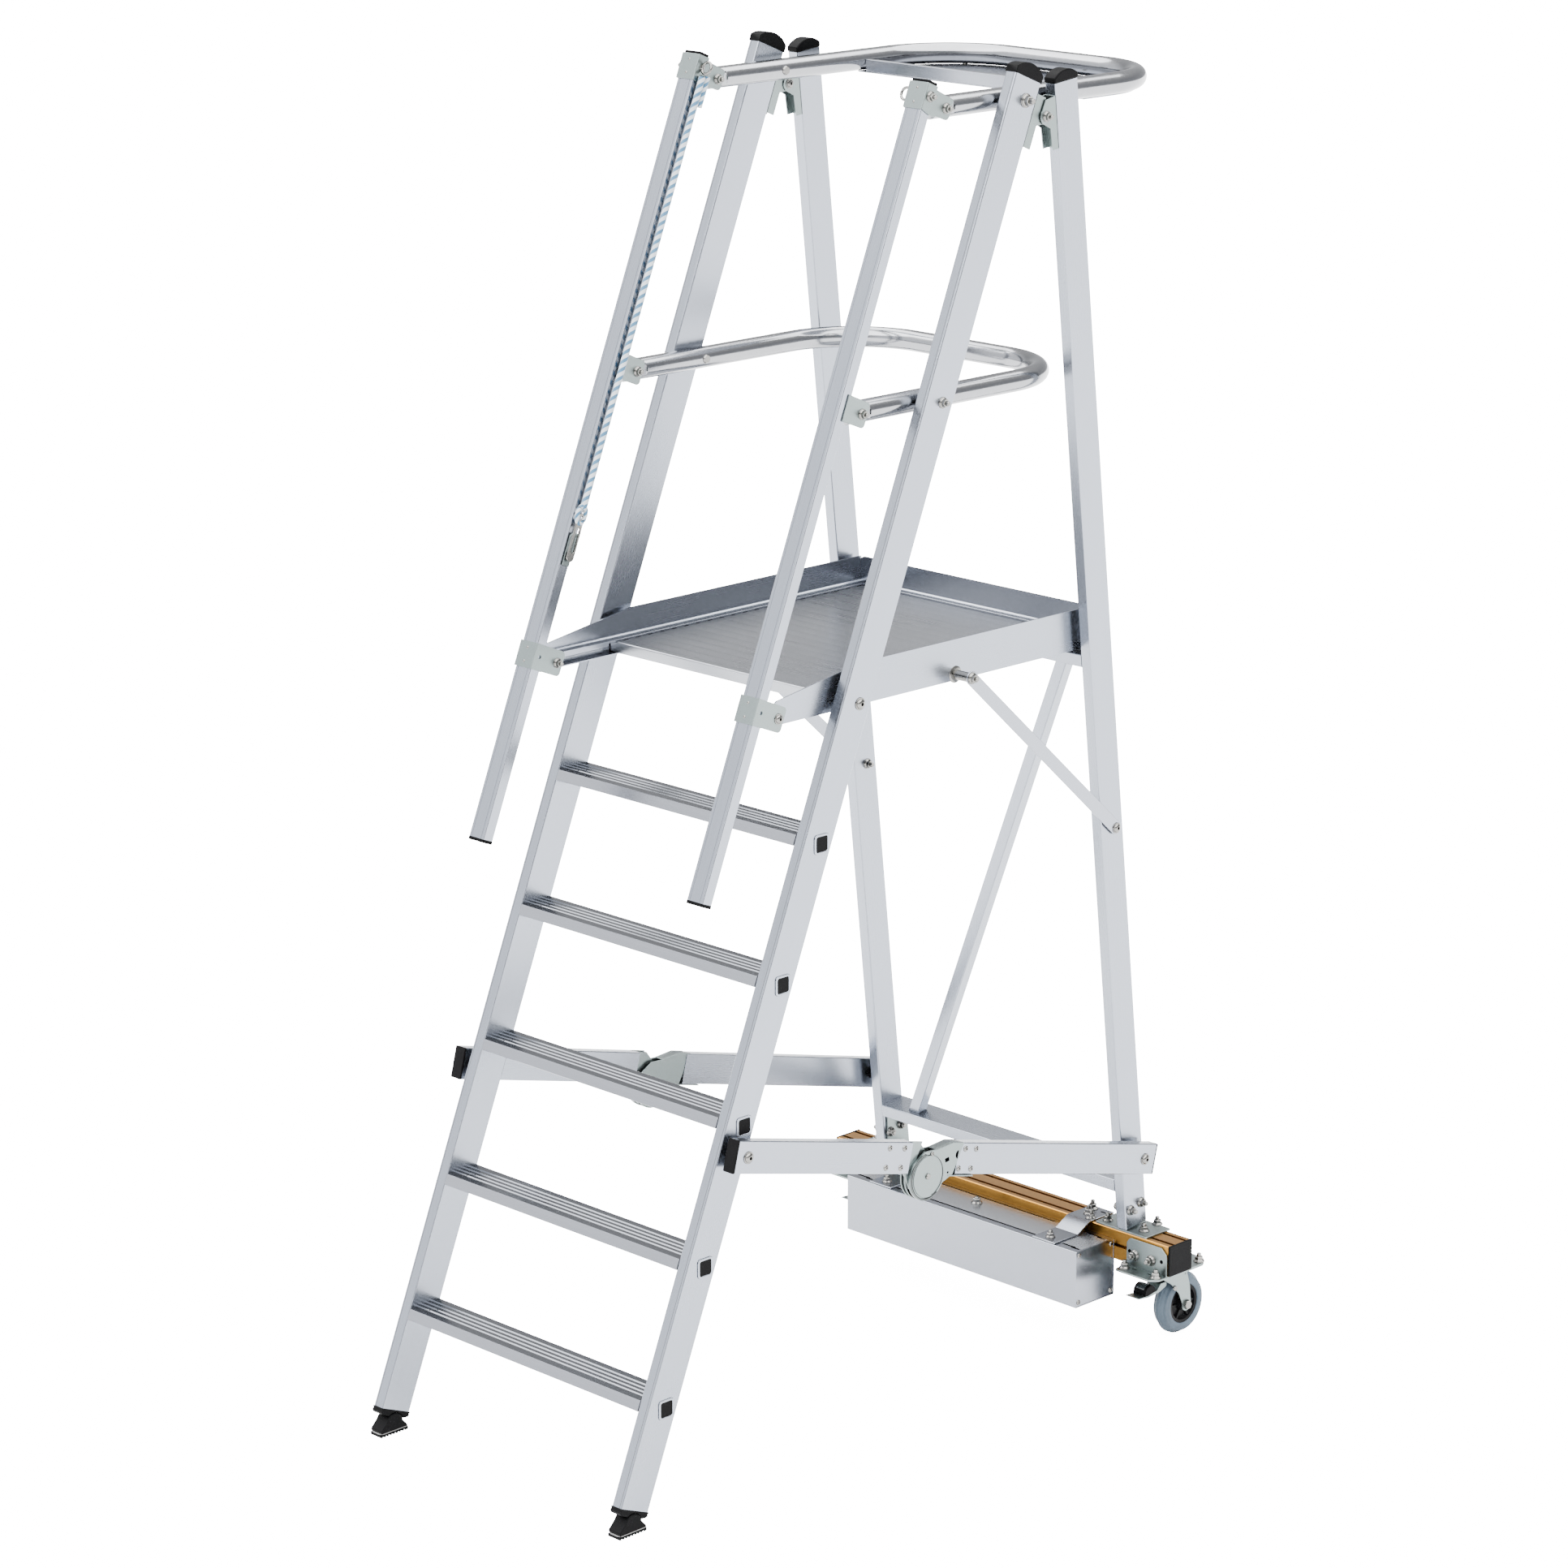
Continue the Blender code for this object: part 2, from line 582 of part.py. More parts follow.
# ------------------------------------------------------------------ platform
def make_platform():
    y, z = climb_point(PLATFORM_U, BOLT_V)
    pivot = empty("axis_platform", (0, y, z))
    deck_z1 = DECK_TOP
    deck_z0 = BOARD_LOW + 0.0020 + GAP
    rear = PLATFORM_REAR - 0.0040
    t = 0.0022
    skin = deck_z1 - 0.0012
    channel = [(DECK_FRONT, deck_z0), (DECK_FRONT, skin), (rear, skin), (rear, deck_z0), (rear - t, deck_z0),
               (rear - t, skin - t), (DECK_FRONT + t, skin - t), (DECK_FRONT + t, deck_z0)]
    deck = extrusion("platform_deck", [channel], "X", -DECK_HALF, DECK_HALF, "aluminium_deck", pivot)
    between = DECK_HALF - LEDGE - GAP
    planks = rectangle(DECK_FRONT + 0.0005, rear - 0.0005, skin - 0.0008, deck_z1)
    walk = extrusion("deck_planks", [planks], "X", -between, between, "aluminium_deck", pivot)
    boolean(deck, walk, "UNION")
    narrow = DECK_HALF - LEDGE
    step = deck_z1 + 0.0045 + GAP
    toe = [(-narrow, deck_z0), (narrow, deck_z0), (narrow, step), (DECK_HALF, step), (DECK_HALF, BOARD_HIGH),
           (-DECK_HALF, BOARD_HIGH), (-DECK_HALF, step), (-narrow, step)]
    extrusion("rear_toe_board", [toe], "Y", PLATFORM_REAR - 0.0032, PLATFORM_REAR - 0.0003, "aluminium", pivot)
    for side in (-1, 1):
        make_side_board(side, pivot, deck_z1)
        make_strut(side)


def slope_cut(bm, start, stop):
    """Cut away everything above the line from start to stop, given as (y, z)."""
    low = Vector((0, *start))
    high = Vector((0, *stop))
    along = high - low
    normal = Vector((0, -along.z, along.y)).normalized()
    geometry = bm.verts[:] + bm.edges[:] + bm.faces[:]
    cut = bmesh.ops.bisect_plane(bm, geom=geometry, plane_co=high, plane_no=normal, clear_outer=True)
    edges = [e for e in cut["geom_cut"] if isinstance(e, bmesh.types.BMEdge)]
    bmesh.ops.contextual_create(bm, geom=edges)


def make_side_board(side, pivot, deck_z1):
    """Edge extrusion that holds the deck, its front top edge cut on a slope."""
    outer = BOARD_X
    web = BOARD_X - BOARD_T
    low, high = BOARD_LOW, BOARD_HIGH
    section = [(outer, low), (outer, high), (web, high), (web, deck_z1 + 0.0045),
               (web - LEDGE, deck_z1 + 0.0045), (web - LEDGE, deck_z1 + GAP), (web, deck_z1 + GAP),
               (web, low + 0.0020), (web - LEDGE, low + 0.0020), (web - LEDGE, low)]
    section = [(x * side, z) for x, z in section]
    bm = bmesh.new()
    add_extrusion(bm, [section], "Y", -POST_REACH - 0.0160, PLATFORM_REAR)
    slope_cut(bm, (-0.1700, 0.0300), (0.0400, BOARD_HIGH))
    slope_cut(bm, (-POST_REACH - 0.0160, 0.0120), (-POST_REACH + 0.0020, 0.0280))
    word = side_name(side)
    board = finish("side_board_" + word, bm, "aluminium", pivot)
    stud = extrusion("side_stud_" + word, [circle(STUD_Y, STUD_Z, STUD_R)], "X",
                     *sided(side, BOARD_X - 0.0010, STRUT_X - 0.0004), "steel", pivot, True)
    boolean(board, stud, "UNION")


def make_strut(side):
    """Flat stay from the platform's stud down to the rear stile."""
    foot = STRUT_FOOT
    pivot_y, pivot_z = climb_point(PLATFORM_U, BOLT_V)
    head = pivot_y + STUD_Y, pivot_z + STUD_Z
    pivot = empty("axis_strut_" + side_name(side), (0, foot[0], foot[1]))
    dy, dz = head[0] - foot[0], head[1] - foot[1]
    angle = math.degrees(math.atan2(dz, dy))
    radius = STRUT_W / 2
    outline = arc(0, 0, radius, angle + 90, angle + 270, 8) + arc(dy, dz, radius, angle - 90, angle + 90, 8)
    extrusion("platform_strut_" + side_name(side), [outline], "X",
              *sided(side, STRUT_X, STRUT_X + STRUT_T), "aluminium", pivot)


# --------------------------------------------------------- rails and the tray
def rail_path(front, rear):
    """Centre points of a U-shaped rail in its own plane, from right to left."""
    points = [(RAIL_X, front), (RAIL_X, front + 0.030), (RAIL_X, front + 0.065), (RAIL_X, 0.02)]
    points += arc(RAIL_X - RAIL_CORNER, rear - RAIL_CORNER, RAIL_CORNER, 0, 90, 10)
    points += [(-x, y) for x, y in reversed(points)]
    return points


def make_rail(name, rear, pivot):
    """Round tube with flattened tongues at its two front ends."""
    path = rail_path(-POST_REACH - 0.0200, rear)
    sides = 16
    last = len(path) - 1
    bm = bmesh.new()
    rings = []
    for i, (x, y) in enumerate(path):
        before = Vector(path[max(i - 1, 0)])
        after = Vector(path[min(i + 1, last)])
        along = (after - before).normalized()
        across = Vector((along.y, -along.x))
        step = min(i, last - i)
        flat = {0: 0.0035, 1: 0.0035}.get(step, TUBE_R)
        tall = {0: 0.0215, 1: 0.0215}.get(step, TUBE_R)
        ring = []
        for k in range(sides):
            angle = 2 * math.pi * k / sides
            reach = across * (flat * math.cos(angle))
            ring.append(bm.verts.new((x + reach.x, y + reach.y, tall * math.sin(angle))))
        rings.append(ring)
    for here, after in zip(rings, rings[1:]):
        for k in range(sides):
            j = (k + 1) % sides
            bm.faces.new((here[k], here[j], after[j], after[k]))
    bm.faces.new(rings[0])
    bm.faces.new(rings[-1])
    finish(name, bm, "aluminium", pivot, True)


def make_rails():
    y, z = climb_point(TOP_U, BOLT_V)
    top = empty("axis_top_rail", (0, y, z))
    make_rail("top_rail", TOP_REAR, top)
    make_tray(top)
    y, z = climb_point(KNEE_U, BOLT_V)
    knee = empty("axis_knee_rail", (0, y, z))
    make_rail("knee_rail", KNEE_REAR, knee)


TRAY_FRONT = 0.2120               # tray's front edge behind the rail's pivot
TRAY_T = 0.0024


def tray_outline(front, inset):
    """The tray's plan: the rail's own loop, drawn in by inset."""
    edge = [(RAIL_X - inset, front)]
    edge += arc(RAIL_X - RAIL_CORNER, TOP_REAR - RAIL_CORNER, RAIL_CORNER - inset, 0, 90, 8)
    return edge + [(-x, y) for x, y in reversed(edge)]


def make_tray(top):
    """Flat tray under the rail's loop: a raised floor inside the tube, a flange along its front."""
    low = -TUBE_R - GAP - TRAY_T
    tray = extrusion("tool_tray", [tray_outline(TRAY_FRONT, 0.0)], "Z", low, low + TRAY_T, "aluminium", top)
    inside = TUBE_R + 0.0015
    floor = extrusion("tray_floor", [tray_outline(TRAY_FRONT + 0.0040, inside)], "Z", low + 0.0010,
                      low + TRAY_T + 0.0010, "aluminium", top)
    boolean(tray, floor, "UNION")
    lip_x = RAIL_X - TUBE_R - 0.0010
    lip = extrusion("tray_lip", [rectangle(TRAY_FRONT, TRAY_FRONT + TRAY_T, low, 0.0020)], "X",
                    -lip_x, lip_x, "aluminium", top)
    boolean(tray, lip, "UNION")


# --------------------------------------------------------------- entry posts
def make_posts():
    """Each post is a tube with three channel brackets on it."""
    back = POST_FRONT_V + POST_D
    tall = 0.0270
    bite = GAP
    wall = BRACKET_WALL
    for side in (-1, 1):
        word = side_name(side)
        y, z = climb_point(PLATFORM_U, BOLT_V)
        pivot = empty("axis_post_" + word, (0, y - POST_REACH, z), CLIMB_ANGLE - math.pi / 2)
        c, s = math.cos(CLIMB_ANGLE), math.sin(CLIMB_ANGLE)
        here_u = PLATFORM_U - POST_REACH * c
        here_v = BOLT_V - POST_REACH * s
        x0, x1 = sided(side, POST_X - POST_W, POST_X)
        v0, v1 = POST_FRONT_V - here_v, back - here_v
        post = extrusion("post_" + word, hollow(x0, x1, v0, v1, 0.0020), "Z",
                         POST_LOW_U - here_u, POST_TOP_U - here_u, "aluminium", pivot)
        for level, wraps in ((PLATFORM_U, True), (KNEE_U, False), (TOP_U, True)):
            u = level - PLATFORM_U
            front = v0 - wall + bite if wraps else v1 - bite
            inside = v0 + bite if wraps else v1 + wall - bite
            ear = 0.0170
            channel = [(x0 - wall + bite, ear), (x0 - wall + bite, front), (x1 + wall - bite, front),
                       (x1 + wall - bite, ear), (x1 - bite, ear), (x1 - bite, inside),
                       (x0 + bite, inside), (x0 + bite, ear)]
            bracket = extrusion("bracket_%s_%d" % (word, round(level * 1000)), [channel], "Z",
                                u - tall, u + tall, "galvanised", pivot)
            boolean(post, bracket, "UNION")


ROPE_R = 0.0062
ROPE_V = -0.0430                  # rope's centre ahead of the left post's pivots
ROPE_LOW = 0.2700
ROPE_HIGH = 1.0920
HOOK_LOW = 0.1760


def make_rope():
    """Entry rope, stowed along the left post, and the snap hook on its end."""
    y, z = climb_point(PLATFORM_U, BOLT_V)
    pivot = empty("axis_rope", (0, y - POST_REACH, z), CLIMB_ANGLE - math.pi / 2)
    x = -(POST_X - POST_W) + BRACKET_WALL + GAP + ROPE_R
    extrusion("rope", [circle(x, ROPE_V, ROPE_R, 12)], "Z", ROPE_LOW, ROPE_HIGH, "rope", pivot, True)
    hook = rectangle(x - 0.0040, x + 0.0040, ROPE_V - 0.0090, ROPE_V + 0.0090)
    extrusion("rope_hook", [hook], "Z", HOOK_LOW, ROPE_LOW - GAP, "steel", pivot)


# ----------------------------------------------------------------- spreaders
def lock_point():
    """World (y, z) of the spreader's lock pivot."""
    front, rear = Vector(SPREADER_FRONT), Vector(SPREADER_REAR)
    along = (rear - front).normalized()
    down = Vector((along.y, -along.x))
    return front + (rear - front) * LOCK_SHARE + down * LOCK_DROP


def make_spreader_bar(name, pivot, start, stop, lock_y, plates, side):
    """Hollow bar with its half of the lock joint."""
    half = SPREADER_H / 2
    x0, x1 = sided(side, SPREADER_X, SPREADER_X + SPREADER_W)
    bar = extrusion(name, hollow(x0, x1, -half, half, SPREADER_WALL), "Y", start, stop, "aluminium", pivot)
    near = stop if abs(stop - lock_y) < abs(start - lock_y) else start
    toward = 1 if near > lock_y else -1
    edge = near + toward * 0.010
    for low, high in plates:
        arm = [(edge, -half + 0.002), (edge, half - 0.002), (lock_y - toward * 0.012, half - 0.018)]
        disc = arc(lock_y, -LOCK_DROP, LOCK_R, 200, 340, 12) + arm[::toward]
        plate = extrusion("%s_plate_%d" % (name, round(low * 10000)), [disc], "X",
                          *sided(side, low, high), "galvanised", pivot)
        boolean(bar, plate, "UNION")
    return bar


def make_spreaders():
    """Two folding stays a side, each a front and a rear bar with a lock between."""
    front, rear = Vector(SPREADER_FRONT), Vector(SPREADER_REAR)
    slope = math.atan2(rear.y - front.y, rear.x - front.x)
    length = (rear - front).length
    lock = lock_point()
    x0 = SPREADER_X
    for side in (-1, 1):
        word = side_name(side)
        head = empty("axis_spreader_front_" + word, (0, front.x, front.y), slope)
        reach = LOCK_SHARE * length
        make_spreader_bar("spreader_front_" + word, head, -BAR_OVERHANG, reach - 0.0540, reach,
                          [(x0 + 0.0105, x0 + 0.0150)], side)
        knee = empty("axis_spreader_rear_" + word, (0, lock.x, lock.y), slope)
        plates = [(x0 + 0.0015, x0 + 0.0045), (x0 + 0.0210, x0 + 0.0240)]
        bar = make_spreader_bar("spreader_rear_" + word, knee, 0.0760, length - reach + BAR_OVERHANG, 0.0,
                                plates, side)
        for obj in [bar] + [m.object for m in bar.modifiers]:
            obj.location = (0, 0, LOCK_DROP)


# --------------------------------------------------------------------- build
def main():
    clear_scene()
    make_climbing_frame()
    make_feet()
    make_rear_frame()
    make_platform()
    make_rails()
    make_posts()
    make_rope()
    make_spreaders()


main()
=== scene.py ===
"""Looks of the folding rolling platform ladder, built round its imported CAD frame.

Metres and +Z up, as in the frame. Most outlines are written in millimetres and
scaled by mm(). Four local frames carry the pieces: LADDER (x, behind, along) on
the front stiles, REAR (x, behind, up) on the rear frame's hinge, STAY (x, along,
up) on the spreaders and one caster frame a side.
"""
import json
import math

import bmesh
import bpy
from mathutils import Matrix, Vector


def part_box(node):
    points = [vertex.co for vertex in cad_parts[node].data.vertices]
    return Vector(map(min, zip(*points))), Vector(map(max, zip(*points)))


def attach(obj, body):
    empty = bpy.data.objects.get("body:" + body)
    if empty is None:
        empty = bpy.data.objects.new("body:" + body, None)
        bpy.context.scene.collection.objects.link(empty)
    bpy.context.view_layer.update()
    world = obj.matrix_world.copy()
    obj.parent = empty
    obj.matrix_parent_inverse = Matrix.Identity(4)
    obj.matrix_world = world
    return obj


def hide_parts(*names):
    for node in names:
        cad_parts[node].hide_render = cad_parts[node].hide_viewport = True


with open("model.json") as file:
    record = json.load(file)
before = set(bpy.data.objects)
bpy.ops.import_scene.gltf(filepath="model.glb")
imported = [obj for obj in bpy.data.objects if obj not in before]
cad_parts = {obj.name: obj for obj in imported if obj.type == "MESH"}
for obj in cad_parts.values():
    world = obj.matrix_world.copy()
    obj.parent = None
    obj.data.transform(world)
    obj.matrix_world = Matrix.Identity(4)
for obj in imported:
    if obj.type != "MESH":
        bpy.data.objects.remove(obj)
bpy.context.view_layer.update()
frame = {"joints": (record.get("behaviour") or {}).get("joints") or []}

# -------------------------------------------------------------- frames
JOINT = {j["name"]: Vector(j["pos_m"]) for j in frame["joints"]}
SIDES = ((-1, "left"), (1, "right"))
CLIMB = math.radians(68.0)
REAR_TILT = math.radians(6.5)
BOLT_V = 0.008
PLATFORM_U = 1.2925
KNEE_U = 1.8455
TOP_U = 2.4010


def centred(point):
    return Vector((0.0, point.y, point.z))


TURN = Matrix.Rotation(CLIMB - math.pi / 2, 4, "X")
ON_PLATFORM = centred(JOINT["platform_fold"])
LADDER = Matrix.Translation(ON_PLATFORM) @ TURN @ Matrix.Translation((0, -BOLT_V, -PLATFORM_U))
HINGE = centred(JOINT["fold"])
REAR = Matrix.Translation(HINGE) @ Matrix.Rotation(REAR_TILT, 4, "X")
WORLD = Matrix.Identity(4)
ALONG_X = Matrix(((0, 0, 1, 0), (1, 0, 0, 0), (0, 1, 0, 0), (0, 0, 0, 1)))   # outline is (y, z)
ALONG_Y = ALONG_X @ ALONG_X                                                 # outline is (z, x)
ALONG_Z = Matrix.Identity(4)                                                # outline is (x, y)

STILE_X = (0.3105, 0.3355)
STILE_HALF = 0.035
STILE_U = (-0.187, 2.440)
REAR_X = (0.3115, 0.3365)
REAR_W = (0.0284, 0.0884)
REAR_S = (-2.2015, 0.0527)


def box_of(node):
    low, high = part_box(node)
    return low, high


# -------------------------------------------------------------- materials
def new_material(name):
    material = bpy.data.materials.new(name)
    material.use_nodes = True
    tree = material.node_tree
    return material, tree, tree.nodes["Principled BSDF"]


def add_node(tree, kind, **values):
    node = tree.nodes.new(kind)
    for key, value in values.items():
        if key in node.inputs:
            node.inputs[key].default_value = value
        else:
            setattr(node, key, value)
    return node


def noise(tree, scale, stretch=(1, 1, 1), detail=4.0, rough=0.55):
    """Noise in the piece's own axes; stretch shrinks it along some of them."""
    coords = tree.nodes.new("ShaderNodeTexCoord")
    mapping = tree.nodes.new("ShaderNodeMapping")
    mapping.inputs["Scale"].default_value = stretch
    texture = add_node(tree, "ShaderNodeTexNoise", Scale=scale, Detail=detail, Roughness=rough)
    tree.links.new(coords.outputs["Object"], mapping.inputs["Vector"])
    tree.links.new(mapping.outputs["Vector"], texture.inputs["Vector"])
    return texture.outputs["Fac"]


def remap(tree, value, low, high):
    node = add_node(tree, "ShaderNodeMapRange", **{"From Min": 0.3, "From Max": 0.7, "To Min": low, "To Max": high})
    tree.links.new(value, node.inputs["Value"])
    return node.outputs["Result"]


def mix_colors(tree, factor, first, second):
    node = tree.nodes.new("ShaderNodeMix")
    node.data_type = "RGBA"
    for socket, value in ((node.inputs["A"], first), (node.inputs["B"], second)):
        if isinstance(value, tuple):
            socket.default_value = (*value, 1.0)
        else:
            tree.links.new(value, socket)
    tree.links.new(factor, node.inputs["Factor"])
    return node.outputs["Result"]


def shade(color, factor):
    return tuple(min(1.0, c * factor) for c in color)


def bump(tree, shader, height, strength, distance):
    node = add_node(tree, "ShaderNodeBump", Strength=strength, Distance=distance)
    tree.links.new(height, node.inputs["Height"])
    tree.links.new(node.outputs["Normal"], shader.inputs["Normal"])


def metal(name, color, roughness, grain=(1, 1, 1), metallic=1.0, spread=0.06, grain_scale=260.0, dent=0.10):
    """Metal with a fine directional grain, broad smudges and a little unevenness."""
    material, tree, shader = new_material(name)
    fine = noise(tree, grain_scale, grain, 3.0)
    broad = noise(tree, 5.0, (1, 1, 0.5), 3.0)
    tone = mix_colors(tree, remap(tree, fine, 0.0, 1.0), shade(color, 1 - spread), shade(color, 1 + spread * 0.5))
    tone = mix_colors(tree, remap(tree, broad, 0.0, 0.5), tone, shade(color, 1 - spread * 1.4))
    tree.links.new(tone, shader.inputs["Base Color"])
    blend = add_node(tree, "ShaderNodeMath", operation="MULTIPLY_ADD")
    tree.links.new(remap(tree, fine, -0.5, 0.5), blend.inputs[0])
    blend.inputs[1].default_value = roughness * 0.06
    tree.links.new(remap(tree, broad, roughness * 0.95, roughness * 1.08), blend.inputs[2])
    tree.links.new(blend.outputs["Value"], shader.inputs["Roughness"])
    shader.inputs["Metallic"].default_value = metallic
    bump(tree, shader, fine, dent, 0.0002)
    return material


def plastic(name, color, roughness, grain_scale=900.0, dent=0.25, specular=0.3):
    """Moulded plastic or rubber: a fine grain, and a slightly uneven sheen."""
    material, tree, shader = new_material(name)
    fine = noise(tree, grain_scale, (1, 1, 1), 2.0)
    broad = noise(tree, 22.0, (1, 1, 1), 3.0)
    tone = mix_colors(tree, remap(tree, broad, 0.0, 1.0), shade(color, 0.85), shade(color, 1.2))
    tree.links.new(tone, shader.inputs["Base Color"])
    tree.links.new(remap(tree, broad, roughness * 0.85, roughness * 1.15), shader.inputs["Roughness"])
    shader.inputs["Specular IOR Level"].default_value = specular
    bump(tree, shader, fine, dent, 0.0003)
    return material


def rope_material():
    """Braided rope: white strands with a blue tracer that winds round it."""
    material, tree, shader = new_material("rope_braid")
    uv = tree.nodes.new("ShaderNodeTexCoord")
    split = tree.nodes.new("ShaderNodeSeparateXYZ")
    tree.links.new(uv.outputs["UV"], split.inputs["Vector"])
    around = add_node(tree, "ShaderNodeMath", operation="MULTIPLY_ADD")
    tree.links.new(split.outputs["X"], around.inputs[0])
    around.inputs[1].default_value = 2.0
    tree.links.new(split.outputs["Y"], around.inputs[2])
    turn = add_node(tree, "ShaderNodeMath", operation="FRACT")
    tree.links.new(around.outputs["Value"], turn.inputs[0])
    ramp = tree.nodes.new("ShaderNodeValToRGB")
    ramp.color_ramp.interpolation = "LINEAR"
    white, blue = (0.34, 0.36, 0.38, 1), (0.006, 0.070, 0.140, 1)
    ramp.color_ramp.elements[0].color = white
    ramp.color_ramp.elements[1].color = white
    for place, color in ((0.46, white), (0.50, blue), (0.94, blue), (0.98, white)):
        ramp.color_ramp.elements.new(place).color = color
    tree.links.new(turn.outputs["Value"], ramp.inputs["Fac"])
    fibre = noise(tree, 1400.0, (1, 1, 0.4), 3.0)
    tone = mix_colors(tree, remap(tree, fibre, 0.0, 0.15), ramp.outputs["Color"], (0.20, 0.24, 0.27))
    tree.links.new(tone, shader.inputs["Base Color"])
    shader.inputs["Roughness"].default_value = 0.85
    shader.inputs["Sheen Weight"].default_value = 0.3
    bump(tree, shader, fibre, 0.4, 0.0006)
    return material


ALONG = (1, 1, 0.012)
MAT = {
    "aluminium": metal("aluminium_extruded", (0.238, 0.256, 0.291), 0.26, ALONG, spread=0.025, dent=0.008),
    "sheet": metal("aluminium_sheet", (0.236, 0.250, 0.281), 0.22, (1, 1, 0.02), spread=0.02, dent=0.004),
    # darker copy of the tread metal for the upward faces: painted shade on the tread tops
    "tread_top": metal("aluminium_tread_top_painted_shade", (0.120, 0.126, 0.140), 0.24, ALONG, spread=0.04, dent=0.008),
    # brighter copy of the sheet metal for the lid panel: painted reflection of the bright surround
    "lid": metal("aluminium_lid_painted_reflection", (0.400, 0.415, 0.440), 0.26, (1, 1, 0.02), spread=0.02, dent=0.004),
    "tread": metal("aluminium_tread", (0.245, 0.254, 0.278), 0.23, ALONG, spread=0.04, dent=0.010),
    "deck": metal("aluminium_deck", (0.272, 0.282, 0.304), 0.28, ALONG, spread=0.04, dent=0.008),
    "tube": metal("aluminium_polished", (0.235, 0.240, 0.252), 0.15, (1, 1, 1), grain_scale=120.0, dent=0.02),
    "zinc": metal("steel_galvanised", (0.160, 0.188, 0.186), 0.34, (1, 1, 1), 1.0, 0.06, 420.0, 0.05),
    "gold": metal("aluminium_gold", (0.275, 0.132, 0.024), 0.30, ALONG, 1.0, 0.05, dent=0.012),
    "steel": metal("steel_bright", (0.165, 0.162, 0.154), 0.22, (1, 1, 1), grain_scale=500.0, dent=0.04),
    # shadowed steel: near-black for thin lines, painted shade along the stiles' front faces and the lock's rim edges,
    # and the thin line on each tread top
    "dark_steel": metal("steel_shadowed", (0.05, 0.05, 0.05), 0.45, (1, 1, 1)),
    "black": plastic("plastic_black", (0.0016, 0.0016, 0.0018), 0.42, specular=0.03),
    # near-black with no gloss for openings, slots, sockets and gaps: painted shade where nothing is cut
    "hole": plastic("opening_painted_shade", (0.0006, 0.0006, 0.0008), 0.80, specular=0.0),
    "rubber": plastic("rubber_black", (0.0018, 0.0018, 0.0020), 0.62, 600.0, 0.4, specular=0.03),
    "seam": plastic("plastic_grey_line", (0.11, 0.11, 0.11), 0.55, specular=0.2),
    "tyre": plastic("rubber_tyre_grey", (0.045, 0.062, 0.080), 0.46, 700.0, 0.3, specular=0.12),
    "hub": plastic("plastic_hub", (0.0022, 0.0022, 0.0026), 0.34, specular=0.05),
    "roller": plastic("plastic_roller", (0.008, 0.011, 0.013), 0.18, specular=0.5),
    "rope": rope_material(),
}


# -------------------------------------------------------------- outlines
def mm(*points):
    return [(a * 0.001, b * 0.001) for a, b in points]


def rect(a0, a1, b0, b1):
    return [(a0, b0), (a1, b0), (a1, b1), (a0, b1)]


def arc(cx, cy, radius, start, stop, steps):
    angles = [math.radians(start + (stop - start) * i / steps) for i in range(steps + 1)]
    return [(cx + radius * math.cos(t), cy + radius * math.sin(t)) for t in angles]


def ring(cx, cy, radius, sides=32):
    return arc(cx, cy, radius, 0, 360, sides)[:-1]


def rounded(points, radius, steps=4):
    """The outline with its corners rounded; radius may be a list, one for each corner."""
    count = len(points)
    radii = radius if isinstance(radius, (list, tuple)) else [radius] * count
    out = []
    for i, corner in enumerate(points):
        here = Vector(corner)
        before = Vector(points[i - 1]) - here
        after = Vector(points[(i + 1) % count]) - here
        half = before.angle(after) / 2
        if radii[i] <= 0 or half > math.radians(88):
            out.append(corner)
            continue
        reach = min(radii[i] / math.tan(half), before.length * 0.49, after.length * 0.49)
        round_radius = reach * math.tan(half)
        centre = here + (before.normalized() + after.normalized()).normalized() * (round_radius / math.sin(half))
        first = here + before.normalized() * reach - centre
        second = here + after.normalized() * reach - centre
        sweep = first.angle_signed(second)
        for k in range(steps + 1):
            spin = Matrix.Rotation(-sweep * k / steps, 2)
            point = centre + spin @ first
            out.append((point.x, point.y))
    return out


def sided(side, low, high):
    return (low, high) if side > 0 else (-high, -low)


def flipped(side, points, axis=0):
    """Mirror an outline's x coordinate for the left side."""
    if side > 0:
        return points
    return [(-a, b) if axis == 0 else (a, -b) for a, b in points]


# -------------------------------------------------------------- meshes
def add_prism(bm, loops, low, high, place=WORLD):
    """Extrude an outline and its holes from low to high along local Z."""
    sign = -1 if sum(a[0] * b[1] - b[0] * a[1] for a, b in zip(loops[0], loops[0][1:] + loops[0][:1])) < 0 else 1
    loops = [loop[::sign] for loop in loops]
    caps = ([], [])
    first = None
    for loop in loops:
        rings = [[bm.verts.new(place @ Vector((a, b, t))) for a, b in loop] for t in (low, high)]
        count = len(loop)
        for i in range(count):
            j = (i + 1) % count
            bm.faces.new((rings[0][i], rings[0][j], rings[1][j], rings[1][i]))
        for end in (0, 1):
            caps[end].extend(bm.edges.get((rings[end][i], rings[end][(i + 1) % count])) for i in range(count))
        first = first or rings
    if len(loops) == 1:
        bm.faces.new(first[0][::-1])
        bm.faces.new(first[1])
        return
    for end in (0, 1):
        bmesh.ops.triangle_fill(bm, edges=caps[end], use_beauty=True)


